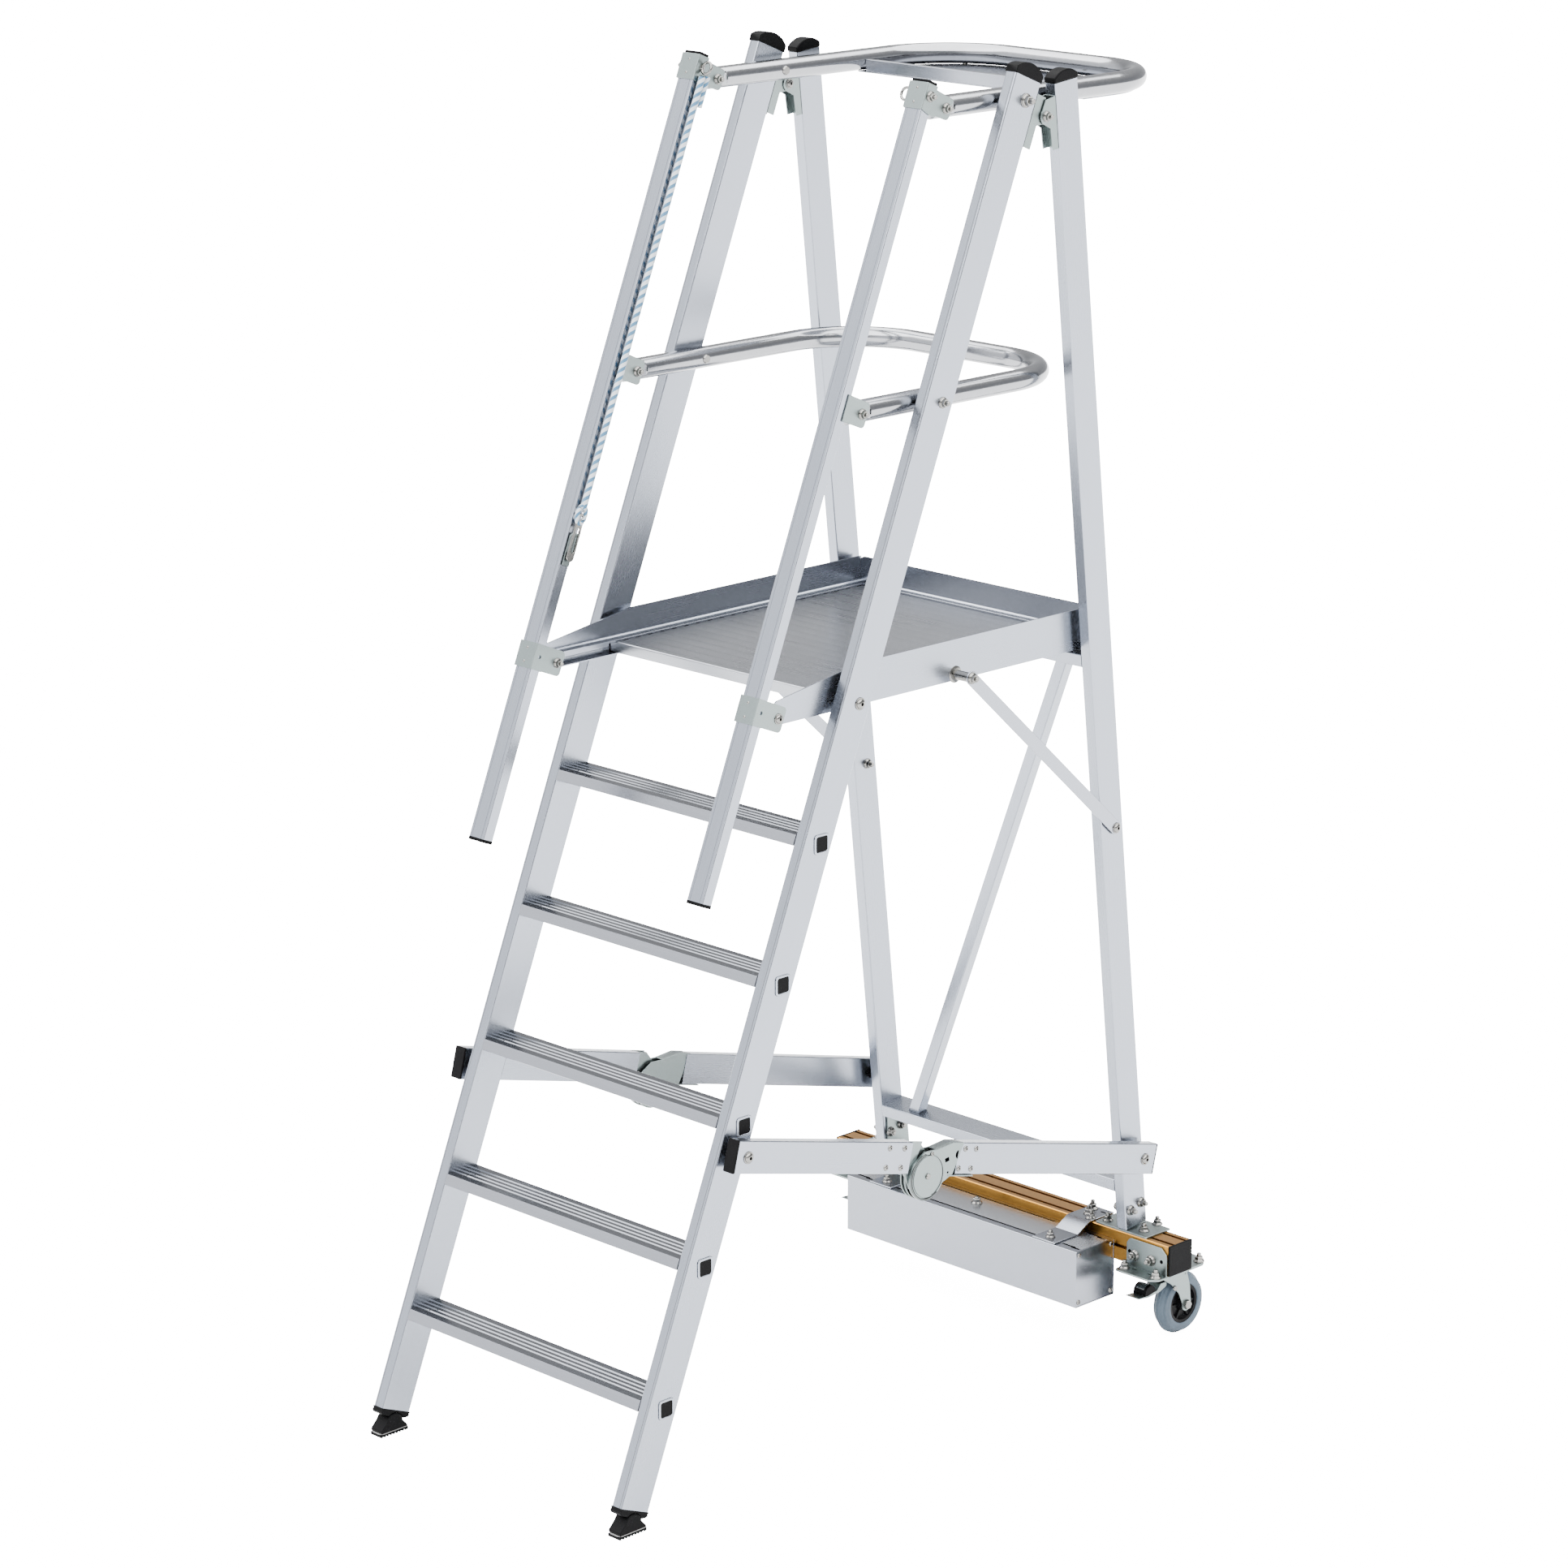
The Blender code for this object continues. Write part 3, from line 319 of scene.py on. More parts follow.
def add_turned(bm, profile, place=WORLD, sides=24, index=0):
    """Turn a profile of (radius, height) points about local Z; radius 0 closes it."""
    rows = []
    for radius, height in profile:
        if radius <= 1e-6:
            rows.append([bm.verts.new(place @ Vector((0, 0, height)))])
            continue
        rows.append([bm.verts.new(place @ Vector((radius * math.cos(2 * math.pi * k / sides),
                                                   radius * math.sin(2 * math.pi * k / sides), height)))
                     for k in range(sides)])
    for here, after in zip(rows, rows[1:]):
        for k in range(sides):
            j = (k + 1) % sides
            corners = [here[k % len(here)], here[j % len(here)], after[j % len(after)], after[k % len(after)]]
            corners = list(dict.fromkeys(corners))
            if len(corners) > 2:
                bm.faces.new(corners).material_index = index


def add_sweep(bm, path, section, place=WORLD, closed=False, uv=None):
    """Sweep rings along a path; section(i, count) gives (across, up) points there."""
    rows = []
    count = len(path)
    for i, point in enumerate(path):
        before = path[i - 1] if closed or i else path[0]
        after = path[(i + 1) % count] if closed or i + 1 < count else path[-1]
        along = (Vector(after) - Vector(before)).normalized()
        guide = Vector((0, 0, 1)) if abs(along.z) < 0.9 else Vector((0, 1, 0))
        across = along.cross(guide).normalized()
        upward = across.cross(along).normalized()
        rows.append([bm.verts.new(place @ (Vector(point) + across * a + upward * b)) for a, b in section(i, count)])
    pairs = list(zip(rows, rows[1:] + rows[:1])) if closed else list(zip(rows, rows[1:]))
    sides = len(rows[0])
    for row, (here, after) in enumerate(pairs):
        for k in range(sides):
            j = (k + 1) % sides
            face = bm.faces.new((here[k], here[j], after[j], after[k]))
            if uv:
                layer, lengths, pitch = uv
                corners = ((k, row), (k + 1, row), (k + 1, row + 1), (k, row + 1))
                for loop, (a, b) in zip(face.loops, corners):
                    loop[layer].uv = (a / sides, lengths[min(b, len(lengths) - 1)] / pitch)
    if not closed:
        bm.faces.new(rows[0][::-1])
        bm.faces.new(rows[-1])


def piece(name, bm, material, body, place=WORLD, bevel=0.0, nodes=(), segments=2, sharp=35.0, parts=None):
    """Finish a mesh as a piece of the object that rides on a CAD body."""
    bmesh.ops.recalc_face_normals(bm, faces=bm.faces)
    mesh = bpy.data.meshes.new(name)
    bm.to_mesh(mesh)
    bm.free()
    if material == "black":
        mesh.transform(place)
        place = WORLD
    for key in parts or [material]:
        mesh.materials.append(MAT[key])
    mesh.shade_smooth()
    mesh.set_sharp_from_angle(angle=math.radians(sharp))
    obj = bpy.data.objects.new(name, mesh)
    bpy.context.collection.objects.link(obj)
    obj.matrix_world = place
    if bevel:
        modifier = obj.modifiers.new("edges", "BEVEL")
        modifier.width = bevel
        modifier.segments = segments
        modifier.limit_method = "ANGLE"
        modifier.angle_limit = math.radians(40)
        modifier.harden_normals = True
    even = obj.modifiers.new("flat faces", "WEIGHTED_NORMAL")
    even.keep_sharp = True
    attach(obj, body)
    if nodes:
        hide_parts(*nodes)
    return obj


def prism(name, loops, low, high, material, body, place=WORLD, turn=ALONG_Z, **options):
    """One extruded piece. Its own Z runs along the extrusion, as the metal's grain does."""
    bm = bmesh.new()
    add_prism(bm, loops, low, high)
    return piece(name, bm, material, body, place @ turn, **options)


# -------------------------------------------------------------- hardware
class Hardware:
    """Collects the small fasteners of one body into one piece for each metal."""

    def __init__(self):
        self.meshes = {}

    def mesh(self, body, material):
        key = (body, material)
        if key not in self.meshes:
            self.meshes[key] = bmesh.new()
        return self.meshes[key]

    def place(self, frame_matrix, point, direction):
        spot = frame_matrix @ Vector(point)
        facing = (frame_matrix.to_3x3() @ Vector(direction)).normalized()
        return Matrix.Translation(spot) @ facing.to_track_quat("Z", "Y").to_matrix().to_4x4()

    def nut(self, body, frame_matrix, point, direction, size=1.0, tip=6.0):
        """Flange nut on a washer, with the bolt's tip standing out of it."""
        s = 0.001 * size
        at = self.place(frame_matrix, point, direction)
        bm = self.mesh(body, "steel")
        add_turned(bm, [(0, 0.001), (10.5 * s, 0.0), (10.5 * s, 1.4 * s), (10.0 * s, 1.8 * s), (7 * s, 1.8 * s)], at)
        add_turned(bm, [(9.6 * s, 1.8 * s), (9.4 * s, 2.6 * s), (7.6 * s, 4.2 * s), (5 * s, 4.2 * s)], at)
        add_turned(bm, [(7.6 * s, 3.0 * s), (7.6 * s, 9.2 * s), (6.6 * s, 10.0 * s), (4.2 * s, 10.0 * s)], at, 6)
        top = 10.0 + tip
        add_turned(bm, [(4.2 * s, 9.5 * s), (4.2 * s, (top - 1) * s), (3.3 * s, top * s), (0, top * s)], at, 16)

    def button(self, body, frame_matrix, point, direction, size=1.0):
        """Button-head screw with a socket, on a washer."""
        s = 0.001 * size
        at = self.place(frame_matrix, point, direction)
        bm = self.mesh(body, "steel")
        add_turned(bm, [(10.5 * s, 0.0), (10.5 * s, 1.3 * s), (9.9 * s, 1.7 * s), (7 * s, 1.7 * s)], at)
        dome = [(8.4 * s * math.cos(math.radians(t)), (1.7 + 4.6 * math.sin(math.radians(t))) * s)
                for t in range(0, 61, 12)]
        add_turned(bm, dome + [(2.9 * s, 5.9 * s), (2.9 * s, 3.4 * s)], at)
        # the socket is a dark disc: painted shade
        add_turned(self.mesh(body, "hole"), [(3.0 * s, 4.0 * s), (0, 3.9 * s)], at, 6)

    def rivet(self, body, frame_matrix, point, direction, size=1.0):
        """Blind rivet: a low dome with a dark core of painted shade."""
        s = 0.001 * size
        at = self.place(frame_matrix, point, direction)
        bm = self.mesh(body, "steel")
        dome = [(4.6 * s * math.cos(math.radians(t)), (0.4 + 2.0 * math.sin(math.radians(t))) * s)
                for t in range(0, 73, 12)]
        add_turned(bm, [(4.8 * s, 0.0)] + dome + [(1.3 * s, 1.2 * s)], at, 20)
        add_turned(self.mesh(body, "hole"), [(1.5 * s, 1.5 * s), (0, 1.4 * s)], at, 12)

    def head(self, body, frame_matrix, point, direction, radius=0.007, height=0.006):
        """Round bolt head."""
        at = self.place(frame_matrix, point, direction)
        low = radius * 0.82
        add_turned(self.mesh(body, "steel"), [(radius, 0.0), (radius, height * 0.7), (low, height), (0, height)], at)

    def hex_head(self, body, frame_matrix, point, direction, radius=0.0085, height=0.006):
        at = self.place(frame_matrix, point, direction)
        low = radius * 0.88
        add_turned(self.mesh(body, "steel"), [(radius, 0.0), (radius, height * 0.8), (low, height), (0, height)], at, 6)

    def dot(self, body, frame_matrix, point, direction, radius):
        """A round hole in a plate, drawn as a dark disc of painted shade."""
        at = self.place(frame_matrix, point, direction)
        add_turned(self.mesh(body, "hole"), [(radius, 0.0), (radius * 0.96, 0.0002), (0, 0.0002)], at, 24)

    def build(self):
        for (body, material), bm in sorted(self.meshes.items(), key=lambda item: item[0]):
            piece("fasteners_%s_%s" % (body, material), bm, material, body, sharp=30.0)


hardware = Hardware()


# -------------------------------------------------------------- climbing frame
def make_stiles():
    for side, word in SIDES:
        x0, x1 = sided(side, *STILE_X)
        outline = rounded(rect(x0, x1, -STILE_HALF, STILE_HALF), 0.0030)
        prism("front_stile_" + word, [outline], *STILE_U, "aluminium", "ladder", LADDER, nodes=["stile_" + word])
        # a thin near-black strip on the front face near its outer edge: painted shade standing for a groove
        groove_shade = rect(*sided(side, STILE_X[1] - 0.0058, STILE_X[1] - 0.0050), -STILE_HALF - 0.00006, -STILE_HALF + 0.001)
        prism("stile_line_" + word, [groove_shade], *STILE_U, "dark_steel", "ladder", LADDER)
        crown = [(-0.0362, 0.0), (-0.0362, 0.012)] + arc(0.0, -0.0286, 0.0550, 131, 49, 16)
        crown += [(0.0362, 0.012), (0.0362, 0.0)]
        cap = [(v, STILE_U[1] + 0.0003 + u) for v, u in crown]
        prism("stile_cap_" + word, [cap], x0 - 0.001, x1 + 0.001, "black", "ladder", LADDER, ALONG_X,
              bevel=0.0056, segments=5, nodes=["top_cap_" + word])


def tread_section():
    slope = 1.0 / math.tan(CLIMB)
    drop, top = 0.0188, 0.0194
    front, rear = -0.0386, STILE_HALF * 2 / math.sin(CLIMB) - 0.0386
    low = top - drop
    points = rounded([(front - drop * slope, low + 0.001), (front, top), (front + 0.004, top)], [0, 0.0012, 0])
    for i in range(4):
        y = -0.0216 + i * 0.0125
        points += [(y, top), (y + 0.0008, top - 0.0022), (y + 0.0026, top - 0.0022), (y + 0.0052, top)]
    points += rounded([(rear - 0.004, top), (rear, top), (rear - drop * slope, low + 0.001)], [0, 0.0012, 0])
    points += [(rear - drop * slope - 0.001, low), (0.0145, low)]
    points += rounded([(0.0135, -0.004), (0.0135, -0.0130), (-0.0135, -0.0130), (-0.0135, -0.004)],
                      [0, 0.003, 0.003, 0])
    points += [(-0.0145, low), (front - drop * slope + 0.001, low)]
    return points


def tread_centre(k):
    low, high = box_of("step_%d" % (k + 1))
    return Matrix.Translation((0, (low.y + high.y) / 2 + 0.00465, high.z - 0.0194))


def make_treads():
    lip = rounded(rect(-0.0184, 0.0184, -0.0184, 0.0184), 0.0070)
    bore = rounded(rect(-0.0142, 0.0142, -0.0142, 0.0142), 0.0042)
    for k in range(5):
        centre = tread_centre(k)
        span = STILE_X[0] - 0.0002
        bm = bmesh.new()
        add_prism(bm, [tread_section()], -span, span)
        bm.normal_update()
        # faces that point up take the darker copy: painted shade on the tread tops
        for face in bm.faces:
            if (ALONG_X.to_3x3() @ face.normal).z > 0.5:
                face.material_index = 1
        piece("tread_%d" % (k + 1), bm, "tread", "ladder", centre @ ALONG_X, nodes=["step_%d" % (k + 1)],
              parts=["tread", "tread_top"])
        for side, word in SIDES:
            x0, x1 = sided(side, STILE_X[1] + 0.0001, STILE_X[1] + 0.0022)
            prism("tread_end_%d_%s" % (k + 1, word), [lip, bore], x0, x1, "aluminium", "ladder", centre, ALONG_X,
                  bevel=0.0009, segments=3)
            x0, x1 = sided(side, STILE_X[1] + 0.0001, STILE_X[1] + 0.0014)
            prism("tread_plug_%d_%s" % (k + 1, word), [rounded(rect(-0.0140, 0.0140, -0.0140, 0.0140), 0.0040)],
                  x0, x1, "black", "ladder", centre, ALONG_X, bevel=0.0005)
        mark = [(-0.0300, -0.288), (-0.0290, -0.289), (0.0040, -0.266), (0.0030, -0.265)]
        prism("tread_mark_%d" % (k + 1), [mark], 0.01935, 0.01955, "dark_steel", "ladder", centre,
              Matrix(((0, 1, 0, 0), (1, 0, 0, 0), (0, 0, 1, 0), (0, 0, 0, 1))))


def make_feet():
    for side, word in SIDES:
        x0, x1 = sided(side, *STILE_X)
        low, high = box_of("foot_" + word)
        pivot = centred(JOINT["foot_%s_tilt" % word])
        floor = -pivot.z
        at = Matrix.Translation(pivot)
        make_socket(word, x0, x1)
        body = [(-0.0322, floor + 0.0076), (-0.0330, -0.0072)]
        body += arc(0, 0, 0.0200, 158, 6, 15)
        body += [(0.0310, -0.0094), (0.0306, floor + 0.0076)]
        prism("foot_body_" + word, [body], low.x, high.x, "black", "foot_" + word, at, ALONG_X,
              bevel=0.0030, segments=4, nodes=["foot_" + word])
        boss = arc(0, 0, 0.0150, 0, 360, 28)[:-1]
        for end in (low.x + 0.0004, high.x - 0.0012):
            prism("foot_boss_%s_%d" % (word, round(end * 1e4)), [boss], end, end + 0.0010, "black", "foot_" + word,
                  at, ALONG_X, bevel=0.0004)
        line = rounded(rect(low.x - 0.0001, high.x + 0.0001, -0.0339, 0.0319), [0.008, 0.008, 0.003, 0.003])
        prism("foot_line_" + word, [line], floor + 0.0062, floor + 0.0078, "seam", "foot_" + word, at,
              bevel=0.0003)
        make_sole(word, low.x, high.x, floor, at)


def make_socket(word, x0, x1):
    """Collar under the stile, stepping in above the foot's hollow."""
    pivot_v, pivot_u, top = 0.0036, -0.2121, STILE_U[0] - 0.0003
    hollow = arc(pivot_v, pivot_u, 0.0214, 34, 146, 16)[::-1]
    outline = [(-0.0362, top), (-0.0362, top - 0.0018), (-0.0346, top - 0.0030), (-0.0346, top - 0.0052),
               (-0.0358, top - 0.0066), (-0.0350, top - 0.0092), (-0.0318, top - 0.0120)]
    outline += hollow
    outline += [(0.0300, top - 0.0108), (0.0352, top - 0.0078), (0.0358, top - 0.0062), (0.0342, top - 0.0046),
                (0.0346, top - 0.0030), (0.0362, top - 0.0018), (0.0362, top)]
    prism("foot_collar_" + word, [outline], x0 - 0.0008, x1 + 0.0008, "black", "ladder", LADDER, ALONG_X,
          bevel=0.0007, segments=3, nodes=["foot_socket_" + word])


def make_sole(word, low, high, floor, at):
    """Ribbed rubber sole with rounded teeth across it."""
    teeth = 9
    start, stop = -0.0338, 0.0318
    pitch = (stop - start) / teeth
    outline = [(start, floor + 0.0062)]
    for i in range(teeth):
        y = start + i * pitch
        outline += [(y + pitch * 0.05, floor + 0.0008), (y + pitch * 0.14, floor), (y + pitch * 0.48, floor),
                    (y + pitch * 0.58, floor + 0.0008)]
        if i < teeth - 1:
            outline += [(y + pitch * 0.66, floor + 0.0030), (y + pitch * 0.92, floor + 0.0030)]
    outline += [(stop, floor + 0.0012), (stop, floor + 0.0062)]
    prism("foot_sole_" + word, [outline], low + 0.0002, high - 0.0002, "rubber", "foot_" + word, at, ALONG_X,
          bevel=0.0003)


def make_stile_bolts():
    outer = STILE_X[1]
    for side, word in SIDES:
        facing = (side, 0, 0)
        hardware.button("ladder", LADDER, (side * outer, BOLT_V, PLATFORM_U), facing, 1.12)
        hardware.nut("ladder", LADDER, (side * outer, BOLT_V, KNEE_U), facing, 1.0)
        hardware.nut("ladder", LADDER, (side * outer, BOLT_V, TOP_U), facing, 1.25)
        inward = (-side, 0, 0)
        rail_face = side * 0.2700
        hardware.head("knee_rail", LADDER, (rail_face, BOLT_V, KNEE_U), inward, 0.0085, 0.0080)
        hardware.head("top_rail", LADDER, (rail_face, BOLT_V, TOP_U), inward, 0.0085, 0.0080)
        hardware.head("platform", LADDER, (side * 0.2975, BOLT_V, PLATFORM_U), inward, 0.0080, 0.0060)


# -------------------------------------------------------------- top hinge
def make_hinges():
    pivot_u, pivot_v = 2.3905, 0.0710
    plate = 0.0024
    front = rounded(mm((35.3, 2324), (57, 2324), (57, 2366), (66, 2377), (62, 2390), (62, 2404), (61, 2422),
                       (35.3, 2422)), [0.001, 0.006, 0.010, 0.003, 0.003, 0.003, 0.006, 0.001])
    round_end = arc(pivot_v, pivot_u, 0.0135, -60, 70, 10)
    inner = [(0.0353, 2.324), (0.0560, 2.324), (0.0560, 2.368)] + round_end + [(0.0600, 2.422), (0.0353, 2.422)]
    middle = (STILE_X[0] + STILE_X[1]) / 2
    rear = [(0.0281, 0.0320), (0.0010, 0.0290)]
    rear += arc(0, 0, 0.0150, 128, 226, 12)
    rear += [(0.0105, -0.0255), (0.0125, -0.0640), (0.0281, -0.0640)]
    for side, word in SIDES:
        bm = bmesh.new()
        for low in (middle - 0.0100, middle + 0.0100 - plate):
            x0, x1 = sided(side, low, low + plate)
            add_prism(bm, [inner, ring(pivot_v, pivot_u, 0.0054)], x0, x1)
        add_prism(bm, [rect(0.0353, 0.0377, 2.324, 2.422)], *sided(side, middle - 0.0100, middle + 0.0100))
        piece("hinge_front_" + word, bm, "zinc", "ladder", LADDER @ ALONG_X, bevel=0.0004,
              nodes=["front_hinge_bracket_" + word])
        bm = bmesh.new()
        for low in (REAR_X[0] - 0.0012, REAR_X[1] + 0.0003 - plate):
            x0, x1 = sided(side, low, low + plate)
            add_prism(bm, [rounded(rear, 0.0), ring(0, 0, 0.00525)], x0, x1)
        add_prism(bm, [rect(0.0257, 0.0281, -0.0640, 0.0320)], *sided(side, REAR_X[0] - 0.0012, REAR_X[1] + 0.0003))
        piece("hinge_rear_" + word, bm, "zinc", "rear_frame", REAR @ ALONG_X, bevel=0.0004,
              nodes=["rear_hinge_bracket_" + word])
        hardware.nut("rear_frame", REAR, (side * (REAR_X[1] + 0.0003), 0, 0), (side, 0, 0), 0.95)
        hardware.button("rear_frame", REAR, (side * (REAR_X[0] - 0.0012), 0, 0), (-side, 0, 0), 0.9)
        bm = bmesh.new()
        add_turned(bm, [(0, 0), (0.0050, 0), (0.0050, 0.0262), (0, 0.0262)],
                   Matrix.Translation((side * (middle - 0.0131 * side * side), 0, 0)) @ ALONG_X if side > 0 else
                   Matrix.Translation((-middle - 0.0131, 0, 0)) @ ALONG_X)
        piece("hinge_pin_" + word, bm, "steel", "ladder", REAR)
        hardware.head("ladder", LADDER, (side * middle, 0.0377, 2.345), (0, 1, 0), 0.0060, 0.0040)


# -------------------------------------------------------------- rear frame
def make_rear_frame():
    for side, word in SIDES:
        x0, x1 = sided(side, *REAR_X)
        prism("back_stile_" + word, [rounded(rect(x0, x1, *REAR_W), 0.0024)], *REAR_S, "aluminium", "rear_frame",
              REAR, nodes=["rear_stile_" + word])
        middle = sum(REAR_W) / 2
        crown = [(REAR_W[0] - 0.0012, 0.0), (REAR_W[0] - 0.0012, 0.010)]
        crown += arc(middle, -0.0235, 0.0450, 130, 50, 16)
        crown += [(REAR_W[1] + 0.0012, 0.010), (REAR_W[1] + 0.0012, 0.0)]
        cap = [(w, REAR_S[1] + 0.0003 + s) for w, s in crown]
        prism("back_cap_" + word, [cap], x0 - 0.001, x1 + 0.001, "black", "rear_frame", REAR, ALONG_X,
              bevel=0.0034, segments=4, nodes=["rear_top_cap_" + word])
    span = REAR_X[0] - 0.0001
    for name, node, s in (("crossbar_top", "upper_crossbar", -1.0518), ("crossbar_low", "lower_crossbar", -2.1260)):
        prism(name, [rounded(rect(*REAR_W, s, s + 0.025), 0.0020)], -span, span, "aluminium", "rear_frame",
              REAR, ALONG_X, nodes=[node])
    make_diagonal()


def make_diagonal():
    low_s, high_s = -2.1260 + 0.0252, -1.0518 - 0.0002
    low_x, high_x = -0.2490, 0.2360
    slant = (high_x - low_x) / (high_s - low_s)
    outline = rounded(rect(low_x, low_x + 0.0270, REAR_W[0] + 0.012, REAR_W[0] + 0.038), 0.0020)
    bm = bmesh.new()
    add_prism(bm, [outline], low_s, high_s)
    for vert in bm.verts:
        vert.co.x += (vert.co.z - low_s) * slant
    piece("brace", bm, "aluminium", "rear_frame", REAR, nodes=["diagonal_brace"])


# -------------------------------------------------------------- base
TRAVERSE_Y = (0.5917, 0.6567)
TRAVERSE_Z = (0.1574, 0.2186)
BOX_X = 0.3080
BOX_Y = (0.4800, 0.5914)
BOX_Z = (0.0850, 0.2000)


def t_slot(a, b, out, across, depth=0.0075, mouth=0.0036, wide=0.0062):
    """Points of a T-slot in an outline at (a, b): out leaves the metal, across runs along its face."""
    (oa, ob), (ca, cb) = out, across
    steps = [(-mouth, 0), (-mouth, 0.0018), (-wide, 0.0018), (-wide, depth), (wide, depth), (wide, 0.0018),
             (mouth, 0.0018), (mouth, 0)]
    return [(a + ca * s - oa * d, b + cb * s - ob * d) for s, d in steps]


def make_traverse():
    y0, y1 = TRAVERSE_Y
    z0, z1 = TRAVERSE_Z
    middle = (z0 + z1) / 2
    corner = 0.0015
    outline = [(y0 + corner, z0), (y1 - corner, z0), (y1, z0 + corner)]
    outline += t_slot(y1, middle, (1, 0), (0, 1))
    outline += [(y1, z1 - corner), (y1 - corner, z1)]
    outline += t_slot(y1 - 0.0150, z1, (0, 1), (-1, 0))
    outline += t_slot(y0 + 0.0150, z1, (0, 1), (-1, 0))
    outline += [(y0 + corner, z1), (y0, z1 - corner)]
    outline += t_slot(y0, middle, (-1, 0), (0, -1))
    outline += [(y0, z0 + corner)]
    low, high = box_of("traverse_beam")
    prism("traverse", [outline], low.x, high.x, "gold", "rear_frame", WORLD, ALONG_X, nodes=["traverse_beam"])
    for side, word in SIDES:
        low, high = box_of("traverse_cap_" + word)
        plug = rounded(rect(low.y, high.y, low.z, high.z), 0.0014)
        prism("traverse_plug_" + word, [plug], low.x, high.x, "black", "rear_frame", WORLD, ALONG_X, bevel=0.0010,
              segments=3, nodes=["traverse_cap_" + word])


def make_box():
    """Folded sheet box: walls that rise past an inset lid, end plates, screws."""
    y0, y1 = BOX_Y
    z0, z1 = BOX_Z
    t = 0.0018
    shell = rounded(rect(y0, y1, z0, z1), 0.0016)
    core = rect(y0 + t, y1 - t, z0 + t, z1 - t)
    prism("box_shell", [shell, core], -BOX_X, BOX_X, "sheet", "rear_frame", WORLD, ALONG_X,
          nodes=["ballast_box", "ballast_weight"])
    for side, word in SIDES:
        plate = rounded(rect(y0 + 0.0020, y1 - 0.0020, z0 + 0.0020, z1 - 0.0020), 0.0015)
        prism("box_end_" + word, [plate], *sided(side, BOX_X - 0.0030, BOX_X - 0.0008), "sheet", "rear_frame",
              WORLD, ALONG_X)
        for y in (y0 + 0.0090, y1 - 0.0090):
            for z in (z0 + 0.0100, z1 - 0.0090):
                hardware.rivet("rear_frame", WORLD, (side * (BOX_X - 0.0008), y, z), (side, 0, 0), 1.1)
    lid_top = z1 + 0.00028
    panel = rounded(rect(-BOX_X + 0.0100, BOX_X - 0.0035, y0 + 0.0195, y1 - 0.0155), 0.001)
    # the lid panel takes the brighter copy: painted reflection
    prism("box_lid", [panel], z1 - 0.0010, z1 + 0.00022, "lid", "rear_frame")
    # slits, key shapes and keyways in the lid are dark flat pieces: painted shade, not cuts
    for low, high, y in ((-0.190, 0.190, y0 + 0.018), (-0.190, 0.165, y1 - 0.014)):
        slit = rounded(rect(low, high, y - 0.0019, y + 0.0019), 0.0012)
        prism("box_slit_%d" % round(y * 1000), [slit], z1 - 0.0002, lid_top, "hole", "rear_frame")
    for side, word in SIDES:
        for y in (y0 + 0.020, y1 - 0.016):
            key = rounded(rect(side * 0.276 - 0.022, side * 0.276 + 0.012, y - 0.0020, y + 0.0020), 0.0015)
            slot = rounded(rect(side * 0.276 + 0.004, side * 0.276 + 0.024, y - 0.0050, y - 0.0010), 0.0012)
            prism("box_key_%s_%d" % (word, round(y * 1000)), [key], z1 - 0.0002, lid_top, "hole", "rear_frame")
            prism("box_keyway_%s_%d" % (word, round(y * 1000)), [slot], z1 - 0.0002, lid_top, "hole", "rear_frame")
    hardware.nut("rear_frame", WORLD, (-0.015, 0.546, z1), (0, 0, 1), 1.1, tip=2.0)


def strap_section():
    """Bent strap: on the lid, up a slope, and over the beam."""
    top = BOX_Z[1] + 0.0003
    base = TRAVERSE_Z[1] + 0.0003
    t = 0.0028
    low = [(BOX_Y[0] + 0.003, top), (BOX_Y[0] + 0.071, top), (TRAVERSE_Y[0] - 0.006, base), (TRAVERSE_Y[1], base)]
    high = [(TRAVERSE_Y[1], base + t), (TRAVERSE_Y[0] - 0.007, base + t), (BOX_Y[0] + 0.070, top + t),
            (BOX_Y[0] + 0.003, top + t)]
    return low + high


def make_straps():
    base = TRAVERSE_Z[1] + 0.0031
    lid = BOX_Z[1] + 0.0031
    for side, word in SIDES:
        x0, x1 = sided(side, 0.1910, 0.2490)
        prism("strap_" + word, [strap_section()], x0, x1, "sheet", "rear_frame", WORLD, ALONG_X, bevel=0.0006,
              sharp=10.0, nodes=["box_strap_" + word])
        hardware.nut("rear_frame", WORLD, (side * 0.220, 0.503, lid), (0, 0, 1), 0.95)
        for x, y in ((0.238, 0.600), (0.220, 0.615), (0.206, 0.642)):
            hardware.nut("rear_frame", WORLD, (side * x, y, base), (0, 0, 1), 1.05, tip=7.0)
        # slots in the straps are dark flat pieces: painted shade, not cuts
        for x, y in ((0.231, 0.610), (0.238, 0.640)):
            slot = rounded(rect(x * side - 0.009, x * side + 0.009, y - 0.0022, y + 0.0022), 0.0020)
            prism("strap_slot_%s_%d" % (word, round(y * 1000)), [slot], base - 0.0002, base + 0.00012, "hole",
                  "rear_frame")


